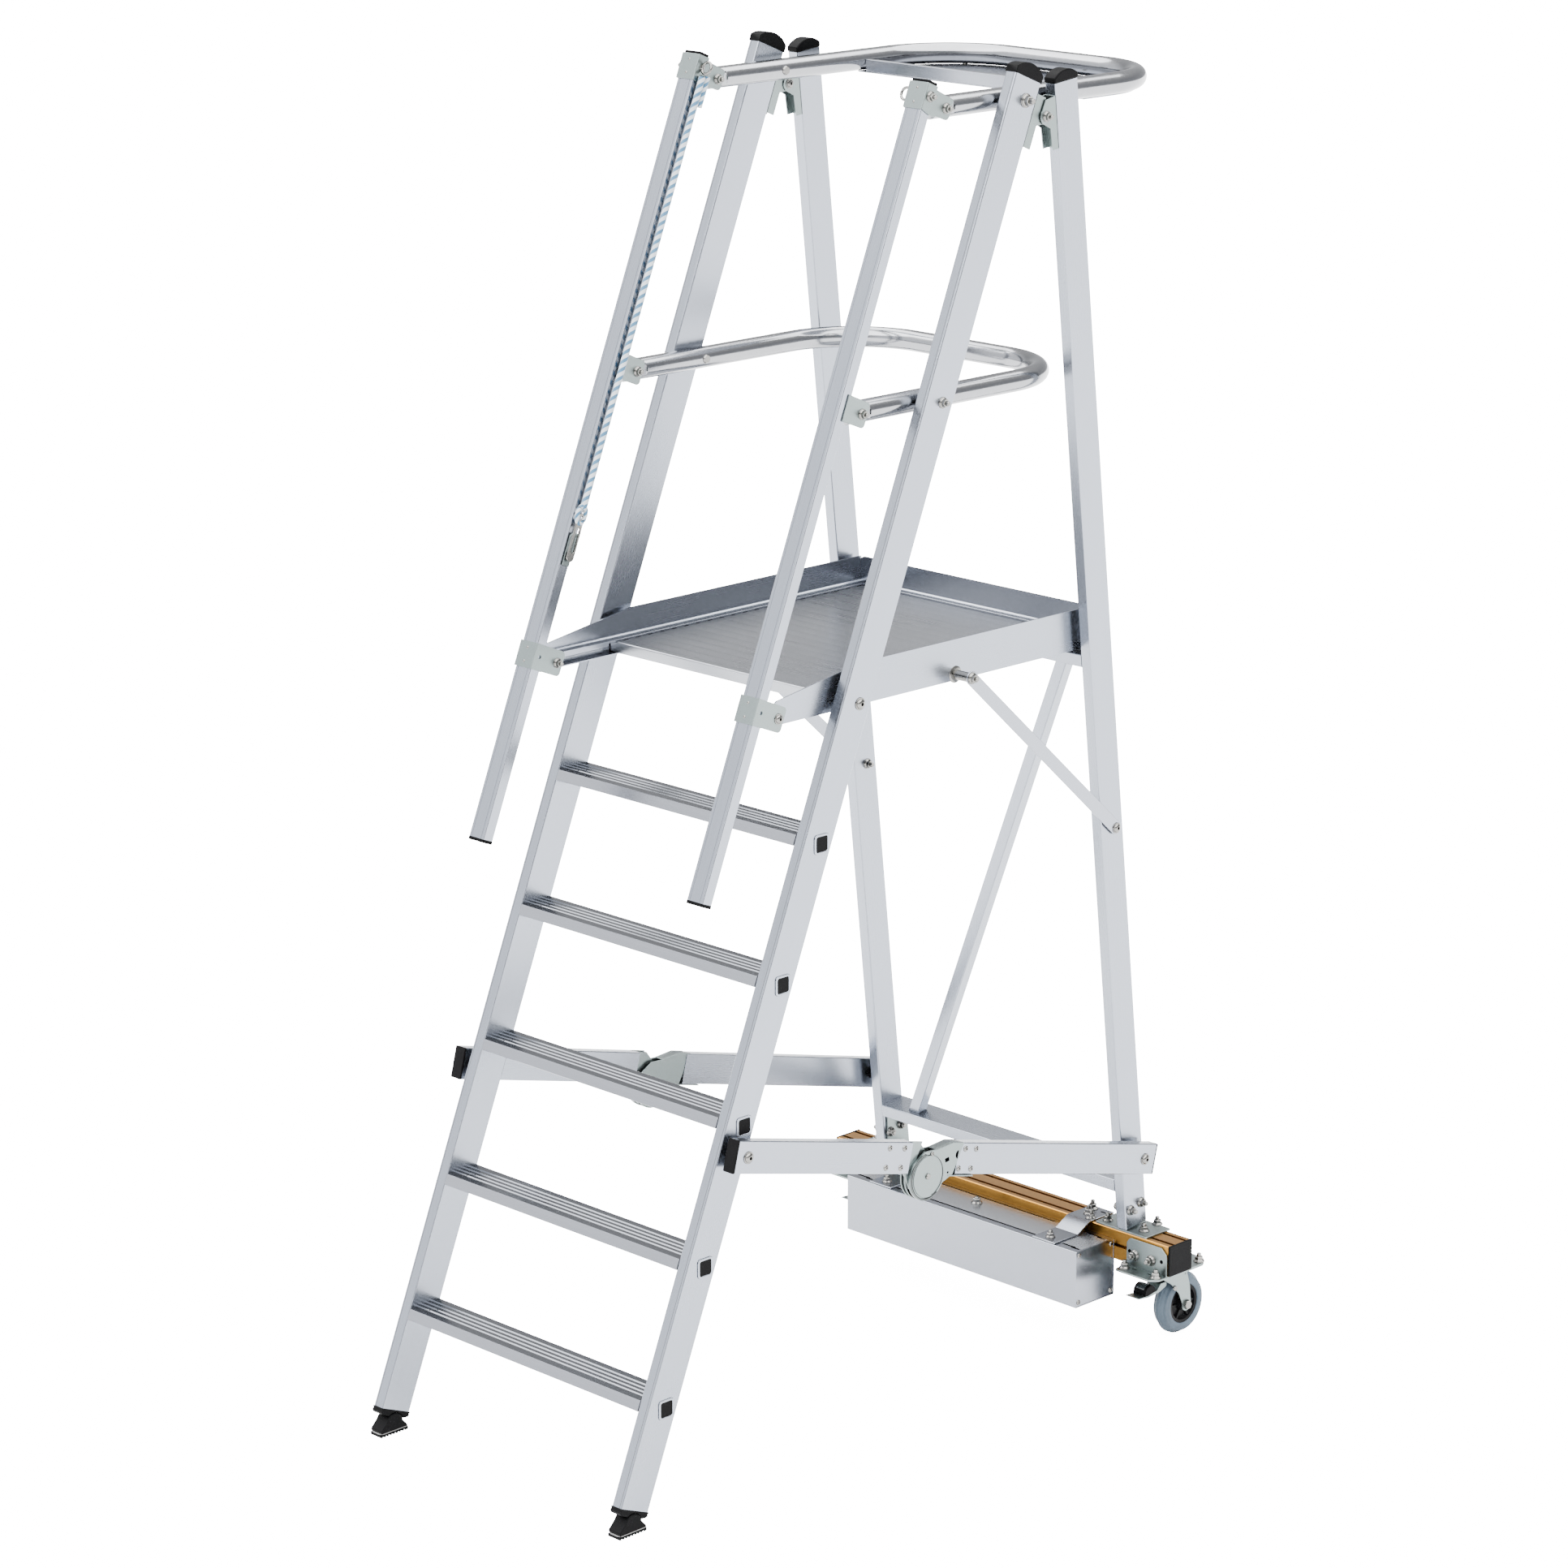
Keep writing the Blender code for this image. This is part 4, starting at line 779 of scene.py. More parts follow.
def make_shoes():
    base = TRAVERSE_Z[1] + 0.0003
    t = 0.0034
    inner = REAR_X[0] - 0.0004
    for side, word in SIDES:
        bm = bmesh.new()
        flange = rounded(rect(0.2560, 0.3880, TRAVERSE_Y[0] + 0.0005, TRAVERSE_Y[1] + 0.0080), 0.004)
        add_prism(bm, [flipped(side, flange)], base, base + t)
        leg = rounded([(TRAVERSE_Y[0] + 0.006, base + 0.001), (TRAVERSE_Y[1] + 0.004, base + 0.001),
                       (TRAVERSE_Y[1] - 0.008, base + 0.100), (TRAVERSE_Y[0] + 0.002, base + 0.100)], 0.003)
        add_prism(bm, [leg], *sided(side, inner - t, inner), ALONG_X)
        piece("shoe_" + word, bm, "zinc", "rear_frame", bevel=0.0005, nodes=["stile_shoe_" + word])
        top = base + t
        for x, y in ((0.354, 0.664), (0.360, 0.618), (0.272, 0.612)):
            hardware.nut("rear_frame", WORLD, (side * x, y, top), (0, 0, 1), 1.0)
        for y, z in ((0.634, 0.271), (0.604, 0.262)):
            hardware.nut("rear_frame", WORLD, (side * REAR_X[1], y, z), (side, 0, 0), 1.0)
            hardware.nut("rear_frame", WORLD, (side * (inner - t), y, z), (-side, 0, 0), 1.0, tip=2.0)


def make_caster_mounts():
    t = 0.0035
    low, high = 0.1569 - t, 0.1569
    face = TRAVERSE_Y[0] - 0.0003
    for side, word in SIDES:
        bm = bmesh.new()
        upright = rounded(mm((154, 342), (203, 342), (213, 350), (213, 430), (200, 444), (154, 444)),
                          [0.001, 0.008, 0.008, 0.004, 0.006, 0.001])
        if side < 0:
            upright = [(z, -x) for z, x in upright]
        add_prism(bm, [upright], face - t, face, ALONG_Y)
        flat = rounded(mm((342, 552), (430, 552), (444, 566), (444, 700), (424, 722), (352, 722), (342, 712)),
                       [0.008, 0.006, 0.006, 0.008, 0.008, 0.006, 0.006])
        add_prism(bm, [flipped(side, flat)], low, high)
        piece("mount_" + word, bm, "zinc", "rear_frame", bevel=0.0006, nodes=["caster_mount_" + word])
        plate = rounded(mm((346, 597), (440, 597), (440, 709), (346, 709)), 0.010)
        prism("caster_plate_" + word, [flipped(side, plate)], low - 0.0045, low - 0.0001, "zinc", "rear_frame",
              bevel=0.0008)
        for x, z in ((0.363, 0.181), (0.405, 0.181)):
            hardware.nut("rear_frame", WORLD, (side * x, face - t, z), (0, -1, 0), 1.05)
        # holes and slots in the mount are dark flat pieces: painted shade, not cuts
        for x, z in ((0.350, 0.186), (0.431, 0.185)):
            hardware.dot("rear_frame", WORLD, (side * x, face - t, z), (0, -1, 0), 0.0040)
        for x, y in ((0.353, 0.570), (0.431, 0.572), (0.353, 0.706), (0.431, 0.700)):
            hardware.nut("rear_frame", WORLD, (side * x, y, high), (0, 0, 1), 1.05)
        for x in (0.372, 0.412):
            slot = rounded(rect(side * x - 0.006, side * x + 0.006, face - t - 0.0120, face - t - 0.0095), 0.0010)
            prism("mount_slot_%s_%d" % (word, round(x * 1000)), [slot], high - 0.0002, high + 0.0001, "hole",
                  "rear_frame")


# -------------------------------------------------------------- casters
TRAIL = 0.0410
WHEEL_R = 0.0625
FORK_TOP = 0.1484


def make_casters():
    for side, word in SIDES:
        swivel = JOINT["caster_%s_swivel" % word]
        wheel = JOINT["wheel_%s_spin" % word]
        yaw = math.atan2(-(wheel.x - swivel.x), wheel.y - swivel.y)
        at = Matrix.Translation((swivel.x, swivel.y, 0)) @ Matrix.Rotation(yaw, 4, "Z")
        make_fork(side, word, at)
        make_wheel(word, at @ Matrix.Translation((0, TRAIL, WHEEL_R)) @ ALONG_X)
        make_pedal(word, at)


def fork_leg():
    """Side view of a fork leg: wide at the head, waisted, round at the axle."""
    front = [(-0.034, FORK_TOP - 0.004), (-0.034, FORK_TOP - 0.014), (-0.006, FORK_TOP - 0.032),
             (0.018, 0.090), (0.0285, 0.066)]
    return front + arc(TRAIL, WHEEL_R, 0.0130, 195, 360, 12) + [(0.050, 0.100), (0.036, FORK_TOP - 0.004)]


def make_fork(side, word, at):
    half, t = 0.0195, 0.0028
    bm = bmesh.new()
    for sign in (-1, 1):
        x0, x1 = sorted((sign * half, sign * (half + t)))
        add_prism(bm, [rounded(fork_leg(), [0.003, 0.004, 0.03, 0.03, 0.01] + [0] * 13 + [0.03, 0.003]),
                       ring(TRAIL, WHEEL_R, 0.0060, 20)], x0, x1, ALONG_X)
        fold = [(sign * (half + t), 0.0340), (sign * (half + t), 0.0368), (sign * (half - 0.010), 0.0368),
                (sign * (half - 0.010), 0.0340)]
        add_prism(bm, [fold], 0.126, FORK_TOP - 0.004)
    bridge = rounded(rect(-half - t, half + t, -0.034, 0.0365), 0.004)
    add_prism(bm, [bridge], FORK_TOP - 0.0075, FORK_TOP - 0.0045)
    piece("fork_" + word, bm, "zinc", "caster_" + word, at, bevel=0.0006, nodes=["caster_fork_" + word])
    bm = bmesh.new()
    profile = [(0.010, FORK_TOP - 0.0145), (0.026, FORK_TOP - 0.0145), (0.032, FORK_TOP - 0.0120),
               (0.0345, FORK_TOP - 0.0085), (0.0345, FORK_TOP - 0.0040), (0.0360, FORK_TOP - 0.0034),
               (0.0360, FORK_TOP - 0.0002), (0.0, FORK_TOP - 0.0002)]
    add_turned(bm, profile, sides=40)
    piece("swivel_head_" + word, bm, "zinc", "caster_" + word, at)
    reach = half + t
    for sign in (-1, 1):
        hardware.hex_head("caster_" + word, at, (sign * reach, TRAIL, WHEEL_R), (sign, 0, 0), 0.0095, 0.0065)
        hardware.head("caster_" + word, at, (sign * reach, 0.004, 0.106), (sign, 0, 0), 0.0050, 0.0035)
    bm = bmesh.new()
    add_turned(bm, [(0, -reach), (0.0058, -reach), (0.0058, reach), (0, reach)],
               Matrix.Translation((0, TRAIL, WHEEL_R)) @ ALONG_X)
    piece("axle_bolt_" + word, bm, "steel", "caster_" + word, at, nodes=["axle_" + word])


def make_wheel(word, at):
    """Grey solid tyre with raised rings, on a black plastic core."""
    half = 0.0170
    tread = [(0.0395, -half + 0.0020), (0.0405, -half + 0.0006), (0.0440, -half), (0.0480, -half),
             (0.0500, -half + 0.0008), (0.0520, -half + 0.0008), (0.0545, -half + 0.0014)]
    crown = [(0.0500 + 0.0110 * math.cos(math.radians(t)), 0.0128 * math.sin(math.radians(t)))
             for t in (-58, -46, -34, -24)]
    ridge = [(0.0606, -0.0042), (0.0610, -0.0038), (0.0624, -0.0032), (0.0625, -0.0012), (0.0618, -0.0006)]
    profile = tread + crown + ridge
    profile += [(r, -x) for r, x in reversed(profile)]
    bm = bmesh.new()
    add_turned(bm, profile + profile[:1], sides=96)
    piece("tyre_" + word, bm, "tyre", "wheel_" + word, at, nodes=["wheel_" + word], sharp=28.0)
    core = [(0.0064, -half + 0.0006), (0.0140, -half + 0.0006), (0.0150, -0.0120), (0.0160, -0.0085),
            (0.0300, -0.0070), (0.0325, -0.0100), (0.0335, -half + 0.0030), (0.0395, -half + 0.0022)]
    core += [(r, -x) for r, x in reversed(core)]
    bm = bmesh.new()
    add_turned(bm, core + core[:1], sides=72)
    for k in range(6):
        spin = Matrix.Rotation(math.radians(60 * k), 4, "Z")
        add_prism(bm, [rect(0.015, 0.033, -0.0016, 0.0016)], -0.0120, 0.0120, spin)
    piece("wheel_core_" + word, bm, "hub", "wheel_" + word, at, sharp=28.0)


def make_pedal(word, at):
    """Brake pedal: a steel tongue with a dark roller pad across it."""
    body = "pedal_" + word
    metal_outline = rounded(mm((-13, 123), (-13, 114), (-34, 106), (-66, 103.5), (-95.5, 107.5), (-96, 109.5),
                               (-68, 107.5), (-40, 112), (-30, 123)), [0.002, 0.002, 0.02, 0.02, 0.001, 0.001,
                                                                       0.01, 0.004, 0.002])
    bm = bmesh.new()
    add_prism(bm, [metal_outline], -0.0160, 0.0160, ALONG_X)
    piece("pedal_tongue_" + word, bm, "zinc", body, at, bevel=0.0005, nodes=["brake_pedal_" + word])
    pad = arc(-0.060, 0.1120, 0.0150, 190, -20, 16) + [(-0.047, 0.1070), (-0.074, 0.1072)]
    prism("pedal_pad_" + word, [pad], -0.0158, 0.0158, "black", body, at, ALONG_X, bevel=0.0012, segments=3)
    band = arc(-0.060, 0.1120, 0.0156, 150, 20, 12) + arc(-0.060, 0.1120, 0.0146, 20, 150, 12)
    prism("pedal_band_" + word, [band], -0.0100, 0.0100, "roller", body, at, ALONG_X, bevel=0.0004)


# -------------------------------------------------------------- platform
BOARD_X = (0.2977, 0.3007)
BOARD_LOW = -0.0143
BOARD_HIGH = 0.0625
DECK_TOP = 0.0093
DECK_LOW = BOARD_LOW + 0.0023
DECK_Y = (-0.0140, 0.6520)
SHELF = 0.0190
DECK_HALF = 0.2974
BOARD_Y = (-0.1932, 0.6560)


def deck_section():
    """Deck planks: narrow bright beads with fine lines between them."""
    y0, y1 = DECK_Y
    pitch = 0.0310
    points = [(y0, DECK_LOW), (y0, DECK_TOP - 0.003)] + arc(y0 + 0.003, DECK_TOP - 0.003, 0.003, 165, 90, 5)
    y = y0 + pitch * 0.4
    while y < y1 - pitch * 0.5:
        points += [(y - 0.0014, DECK_TOP), (y - 0.0006, DECK_TOP + 0.0003), (y + 0.0010, DECK_TOP + 0.0003),
                   (y + 0.0018, DECK_TOP)]
        for shift in (0.008, 0.014, 0.020):
            a = y + shift
            if a + 0.001 < y1 - 0.003:
                points += [(a, DECK_TOP), (a + 0.0002, DECK_TOP - 0.0003), (a + 0.0007, DECK_TOP)]
        y += pitch
    points += [(y1, DECK_TOP), (y1, DECK_LOW), (y1 - 0.002, DECK_LOW), (y1 - 0.002, DECK_TOP - 0.0035)]
    y = y1 - pitch
    while y > y0 + pitch:
        points += [(y + 0.001, DECK_TOP - 0.0035), (y + 0.001, DECK_LOW + 0.004), (y - 0.001, DECK_LOW + 0.004),
                   (y - 0.001, DECK_TOP - 0.0035)]
        y -= pitch
    points += [(y0 + 0.002, DECK_TOP - 0.0035), (y0 + 0.002, DECK_LOW)]
    return points


def board_section(side):
    """Side board in (height, x): web, shelf over the deck, and bottom flange under it."""
    x1, x0 = BOARD_X[1], BOARD_X[0]
    low, high = DECK_TOP + 0.0004, DECK_TOP + 0.0042
    points = [(BOARD_LOW, x1), (BOARD_HIGH, x1), (BOARD_HIGH, x0 + 0.0003), (BOARD_HIGH - 0.001, x0),
              (high + 0.0030, x0), (high + 0.0022, x0 - 0.0016), (high + 0.0004, x0 - 0.0030),
              (high, x0 - SHELF + 0.0016), (high - 0.0008, x0 - SHELF), (low, x0 - SHELF), (low, x0),
              (BOARD_LOW + 0.0110, x0), (BOARD_LOW + 0.0104, x0 - 0.0010), (BOARD_LOW + 0.0096, x0 - 0.0010),
              (BOARD_LOW + 0.0090, x0), (BOARD_LOW + 0.0036, x0), (BOARD_LOW + 0.0020, x0 - 0.0018),
              (BOARD_LOW + 0.0020, x0 - SHELF), (BOARD_LOW, x0 - SHELF)]
    if side > 0:
        return points
    return [(z, -x) for z, x in points]


def cut_slope(bm, start, stop):
    """Cut away what lies above the line from start to stop, given as (y, z)."""
    low, high = Vector((0, *start)), Vector((0, *stop))
    along = high - low
    geometry = bm.verts[:] + bm.edges[:] + bm.faces[:]
    cut = bmesh.ops.bisect_plane(bm, geom=geometry, plane_co=high, plane_no=Vector((0, -along.z, along.y)),
                                 clear_outer=True)
    edges = [e for e in cut["geom_cut"] if isinstance(e, bmesh.types.BMEdge)]
    bmesh.ops.contextual_create(bm, geom=edges)


def make_platform():
    at = Matrix.Translation(ON_PLATFORM)
    prism("deck", [deck_section()], -BOARD_X[0] + 0.0004, BOARD_X[0] - 0.0004, "deck", "platform", at, ALONG_X,
          nodes=["platform_deck"])
    inner = BOARD_X[0] - SHELF
    high = DECK_TOP + 0.0046
    toe = [(-inner, DECK_LOW), (inner, DECK_LOW), (inner, high), (DECK_HALF, high), (DECK_HALF, BOARD_HIGH),
           (-DECK_HALF, BOARD_HIGH), (-DECK_HALF, high), (-inner, high)]
    toe = rounded(toe, [0, 0, 0, 0, 0.010, 0.010, 0, 0])
    prism("toe_board", [[(z, x) for x, z in toe]], BOARD_Y[1] - 0.0032, BOARD_Y[1] - 0.0003, "sheet", "platform", at,
          ALONG_Y, nodes=["rear_toe_board"])
    shelf = rounded([(BOARD_Y[1] - 0.0033, DECK_TOP + 0.0004), (BOARD_Y[1] - 0.0033, DECK_TOP + 0.0072),
                     (BOARD_Y[1] - 0.0055, DECK_TOP + 0.0046), (BOARD_Y[1] - SHELF, DECK_TOP + 0.0042),
                     (BOARD_Y[1] - SHELF, DECK_TOP + 0.0004)], [0, 0, 0.001, 0.001, 0])
    prism("toe_shelf", [shelf], 0.0004 - inner, inner - 0.0004, "sheet", "platform", at, ALONG_X)
    for side, word in SIDES:
        bm = bmesh.new()
        add_prism(bm, [board_section(side)], *BOARD_Y, ALONG_Y)
        cut_slope(bm, (-0.1700, 0.0300), (0.0400, BOARD_HIGH))
        cut_slope(bm, (BOARD_Y[0], 0.0120), (BOARD_Y[0] + 0.0180, 0.0280))
        bm.transform(ALONG_Y.inverted())
        piece("board_" + word, bm, "aluminium", "platform", at @ ALONG_Y, nodes=["side_board_" + word])
        make_gap_shades(side, word, at)
        make_stud(side, word, at)
    make_struts()


def make_gap_shades(side, word, at):
    """Painted shade in the gaps between the deck's ribs and the shelf over it, and at the deck's front corner."""
    bm = bmesh.new()
    y = DECK_Y[0] + 0.0310 * 0.4
    edge = BOARD_X[0] - SHELF
    x0, x1 = sorted((side * (edge - 0.0011), side * (edge + 0.0011)))
    while y < DECK_Y[1] - 0.030:
        add_prism(bm, [rect(x0, x1, y + 0.006, y + 0.017)], DECK_TOP + 0.0001, DECK_TOP + 0.0005)
        y += 0.0310
    x0, x1 = sorted((side * (edge - 0.0004), side * (BOARD_X[0] - 0.0002)))
    add_prism(bm, [rect(x0, x1, DECK_Y[0] - 0.0030, DECK_Y[0] - 0.0002)], BOARD_LOW + 0.00205, BOARD_LOW + 0.0026)
    x0, x1 = sorted((side * (BOARD_X[0] - 0.0012), side * (BOARD_X[0] - 0.0002)))
    add_prism(bm, [rect(x0, x1, DECK_Y[0] - 0.0012, DECK_Y[0] - 0.0002)], BOARD_LOW + 0.0022, DECK_TOP)
    piece("deck_gap_shade_" + word, bm, "hole", "platform", at)


STUD = (0.2841, -0.0029)


def make_stud(side, word, at):
    """Stepped stud that the strut's head hangs on."""
    bm = bmesh.new()
    profile = [(0.0, 0.2990), (0.0160, 0.2990), (0.0160, 0.3012), (0.0145, 0.3022), (0.0092, 0.3030),
               (0.0090, 0.3388), (0.0, 0.3388)]
    spin = Matrix.Translation((0, *STUD)) @ (ALONG_X if side > 0 else Matrix.Rotation(math.pi, 4, "Z") @ ALONG_X)
    add_turned(bm, [(r, x) for r, x in profile], spin)
    piece("stud_" + word, bm, "steel", "platform", at)


def make_struts():
    for side, word in SIDES:
        foot = JOINT["strut_%s_fold" % word]
        head = ON_PLATFORM + Vector((0, *STUD))
        along = Vector((head.y - foot.y, head.z - foot.z))
        angle = math.degrees(math.atan2(along.y, along.x))
        radius = 0.0130
        outline = arc(0, 0, radius, angle + 90, angle + 270, 16)
        outline += arc(along.x, along.y, radius, angle - 90, angle + 90, 16)
        x0, x1 = sided(side, 0.3393, 0.3421)
        at = Matrix.Translation((0, foot.y, foot.z))
        prism("strut_" + word, [outline], x0, x1, "sheet", "strut_" + word, at, ALONG_X, bevel=0.0006,
              nodes=["platform_strut_" + word])
        outer = (side * 0.3421, 0, 0)
        hardware.button("strut_" + word, at, outer, (side, 0, 0), 1.0)
        hardware.nut("strut_" + word, at, (outer[0], along.x, along.y), (side, 0, 0), 1.05, tip=4.0)
        hardware.nut("rear_frame", at, (side * (REAR_X[0] - 0.0001), 0, 0), (-side, 0, 0), 1.0)
        bm = bmesh.new()
        add_turned(bm, [(0, REAR_X[1]), (0.0100, REAR_X[1]), (0.0100, 0.3391), (0, 0.3391)],
                   ALONG_X if side > 0 else Matrix.Rotation(math.pi, 4, "Z") @ ALONG_X)
        piece("strut_spacer_" + word, bm, "steel", "rear_frame", at)


# -------------------------------------------------------------- rails
RAIL_X = 0.2850
TUBE_R = 0.0200
POST_REACH = 0.1772


def rail_path(front, rear, corner):
    bend = arc(RAIL_X - corner, rear - corner, corner, 0, 90, 28)
    straight = [front, front + 0.001, front + 0.0460, front + 0.0464, front + 0.0476, front + 0.12]
    half = [(RAIL_X, y) for y in straight] + bend + [(0.06, rear), (0.0, rear)]
    return [Vector((x, y, 0)) for x, y in half] + [Vector((-x, y, 0)) for x, y in half[-2::-1]]


def rail_section(i, count):
    """Round tube with a shallow flat pressed into each side of its ends."""
    step = min(i, count - 1 - i)
    flat = {0: 0.0164, 1: 0.0168, 2: 0.0168, 3: 0.0172}.get(step, TUBE_R)
    radius = TUBE_R - 0.0006 if step == 0 else TUBE_R
    points = []
    for k in range(64):
        t = 2 * math.pi * (k + 0.5) / 64
        points.append((max(-flat, min(flat, radius * math.cos(t))), radius * math.sin(t)))
    return points


def make_rails():
    for name, joint, rear, corner in (("rail_top", "top_rail_fold", 0.4581, 0.165),
                                      ("rail_knee", "knee_rail_fold", 0.4092, 0.165)):
        at = Matrix.Translation(centred(JOINT[joint]))
        bm = bmesh.new()
        add_sweep(bm, rail_path(-POST_REACH - 0.0200, rear, corner), rail_section)
        body = joint.replace("_fold", "")
        piece(name, bm, "tube", body, at, nodes=[body], sharp=50.0)
    make_tray(Matrix.Translation(centred(JOINT["top_rail_fold"])))


def make_tray(at):
    rear, corner, front = 0.4581, 0.165, 0.2120
    low = -TUBE_R - 0.0027
    edge = [(RAIL_X, front)] + arc(RAIL_X - corner, rear - corner, corner, 0, 90, 18)
    edge += [(-x, y) for x, y in reversed(edge)]
    prism("tray_floor", [edge], low, low + 0.0024, "sheet", "top_rail", at, bevel=0.0005, nodes=["tool_tray"])
    reach = RAIL_X - TUBE_R - 0.0012
    lip = rounded([(front, low + 0.0025), (front + 0.0022, low + 0.0025), (front + 0.0022, 0.0005),
                   (front + 0.0110, 0.0005), (front + 0.0110, 0.0024), (front, 0.0024)], 0.0008)
    prism("tray_lip", [lip], -reach, reach, "sheet", "top_rail", at, ALONG_X, bevel=0.0003)
    for x in (-0.21, -0.07, 0.07, 0.21):
        hardware.rivet("top_rail", at, (x, rear - 0.030, low + 0.0024), (0, 0, 1), 1.0)


# -------------------------------------------------------------- posts and rope
POST_X = (0.2665, 0.3065)
POST_V = (-0.2148, -0.1908)
POST_U = (0.880, 2.3640)


def post_section(side):
    """Post tube with two shallow grooves in each wide face."""
    x0, x1 = POST_X
    v0, v1 = POST_V
    front = [(x0, v0), (x0 + 0.0070, v0), (x0 + 0.0073, v0 + 0.0005), (x0 + 0.0079, v0 + 0.0005), (x0 + 0.0082, v0)]
    front += [(x1 - 0.0082, v0), (x1 - 0.0079, v0 + 0.0005), (x1 - 0.0073, v0 + 0.0005), (x1 - 0.0070, v0)]
    front += [(x1, v0)]
    back = [(x1, v1)]
    ribs = 6
    for i in range(ribs):
        x = x1 - 0.0060 - i * (x1 - x0 - 0.0120) / (ribs - 1)
        back += [(x + 0.0008, v1), (x, v1 - 0.0005), (x - 0.0008, v1)]
    back += [(x0, v1)]
    radii = [0.0022] + [0] * (len(front) - 2) + [0.0022, 0.0022] + [0] * (len(back) - 2) + [0.0022]
    return flipped(side, rounded(front + back, radii))


def make_posts():
    t = 0.0025
    for side, word in SIDES:
        body = "post_" + word
        x0, x1 = sided(side, *POST_X)
        prism("entry_" + body, [post_section(side)], *POST_U, "aluminium", body, LADDER, nodes=[body])
        for low, high, end in ((POST_U[1] + 0.0001, POST_U[1] + 0.0050, "top"), (POST_U[0] - 0.0062, POST_U[0] - 0.0001, "low")):
            outline = rounded(rect(x0 - 0.0003, x1 + 0.0003, POST_V[0] - 0.0003, POST_V[1] + 0.0003), 0.0024)
            prism("post_plug_%s_%s" % (end, word), [outline], low, high, "black", body, LADDER, bevel=0.0006)
        make_post_brackets(side, word, body, t)
        make_eye(side, word, body)


def top_ear(v, u):
    """Ear of the top bracket round its pivot: it hangs a little below the wrap, with a lobe."""
    points = [(POST_V[0], u + 0.0290), (POST_V[1], u + 0.0232), (v + 0.0130, u + 0.0198), (v + 0.0130, u - 0.0195),
              (POST_V[1] + 0.0160, u - 0.0205), (POST_V[1] + 0.0130, u - 0.0190), (POST_V[1] + 0.0120, u - 0.0235),
              (POST_V[1] - 0.0030, u - 0.0235), (POST_V[0], u - 0.0190)]
    return rounded(points, [0.0005, 0.002, 0.006, 0.008, 0.002, 0.002, 0.004, 0.004, 0.0005])


def side_ear(v, u, start):
    return rounded([(start, u - 0.0240), (v + 0.0135, u - 0.0240), (v + 0.0135, u + 0.0230), (start, u + 0.0245)],
                   [0.0005, 0.008, 0.007, 0.0005])


def make_post_brackets(side, word, body, t):
    pivot_v = BOLT_V - POST_REACH * math.sin(CLIMB)
    front = POST_V[0] - 0.0002 - t
    outer, inner = POST_X[1] + 0.0002, POST_X[0] - 0.0002 - t
    nut_face, head_face = (outer + t, inner) if side > 0 else (-inner, -outer - t)
    for level, tag in ((PLATFORM_U, "low"), (KNEE_U, "knee"), (TOP_U, "top")):
        u = level - POST_REACH * math.cos(CLIMB)
        bm = bmesh.new()
        if tag == "top":
            ear, wrap = top_ear(pivot_v, u), (u - 0.0190, POST_U[1] - 0.0002)
        elif tag == "low":
            ear, wrap = side_ear(pivot_v, u, front + t), (u - 0.0240, u + 0.0245)
        else:
            ear, wrap = side_ear(pivot_v, u, POST_V[1] - 0.010), None
        holes = [ring((POST_V[0] + POST_V[1]) / 2, u + 0.001, 0.0036, 20)] if tag == "low" else []
        for x in (outer, inner):
            add_prism(bm, [ear] + holes, *sided(side, x, x + t), ALONG_X)
        if wrap:
            x0, x1 = sided(side, inner, outer + t)
            add_prism(bm, [rounded(rect(x0, x1, front, front + t), [0.0012, 0.0012, 0, 0])], *wrap)
            for x in (outer, inner):
                cheek = rect(front + t * 0.5, POST_V[1], *wrap)
                if tag == "top":
                    add_prism(bm, [cheek], *sided(side, x - 0.0001, x + t + 0.0003), ALONG_X)
            middle = side * (POST_X[0] + POST_X[1]) / 2
            for z in (wrap[0] + 0.0115, wrap[1] - 0.0115):
                hardware.rivet(body, LADDER, (middle, front, z), (0, -1, 0), 0.55)
        piece("bracket_%s_%s" % (tag, word), bm, "zinc", body, LADDER, bevel=0.0005)
        if tag == "low":
            hardware.button(body, LADDER, (side * (outer + t), pivot_v, u), (side, 0, 0), 0.95)
            hardware.nut(body, LADDER, (side * inner, pivot_v, u), (-side, 0, 0), 0.92, tip=5.0)
        else:
            hardware.nut(body, LADDER, (nut_face, pivot_v, u), (1, 0, 0), 0.95, tip=5.0)
            hardware.button(body, LADDER, (head_face, pivot_v, u), (-1, 0, 0), 0.95)


def make_eye(side, word, body):
    """Eye bolt through the post's top bracket, its ring on the inner side."""
    u, v = 2.3420, -0.2035
    hardware.nut(body, LADDER, (side * (POST_X[1] + 0.0030), v, u), (side, 0, 0), 0.95, tip=5.0)
    bm = bmesh.new()
    inner = side * (POST_X[0] - 0.0027)
    centre = Vector((inner - side * 0.0130, v, u))
    loop = [centre + Vector((0.0112 * math.cos(t) * -side, 0, 0.0112 * math.sin(t)))
            for t in [2 * math.pi * k / 40 for k in range(40)]]
    add_sweep(bm, loop, lambda i, n: ring(0, 0, 0.0028, 14), closed=True)
    add_turned(bm, [(0.0060, 0.0), (0.0060, 0.0016), (0.0030, 0.0020), (0.0030, 0.0040), (0, 0.0040)],
               hardware.place(WORLD, (inner, v, u), (-side, 0, 0)))
    piece("eye_" + word, bm, "steel", body, LADDER)


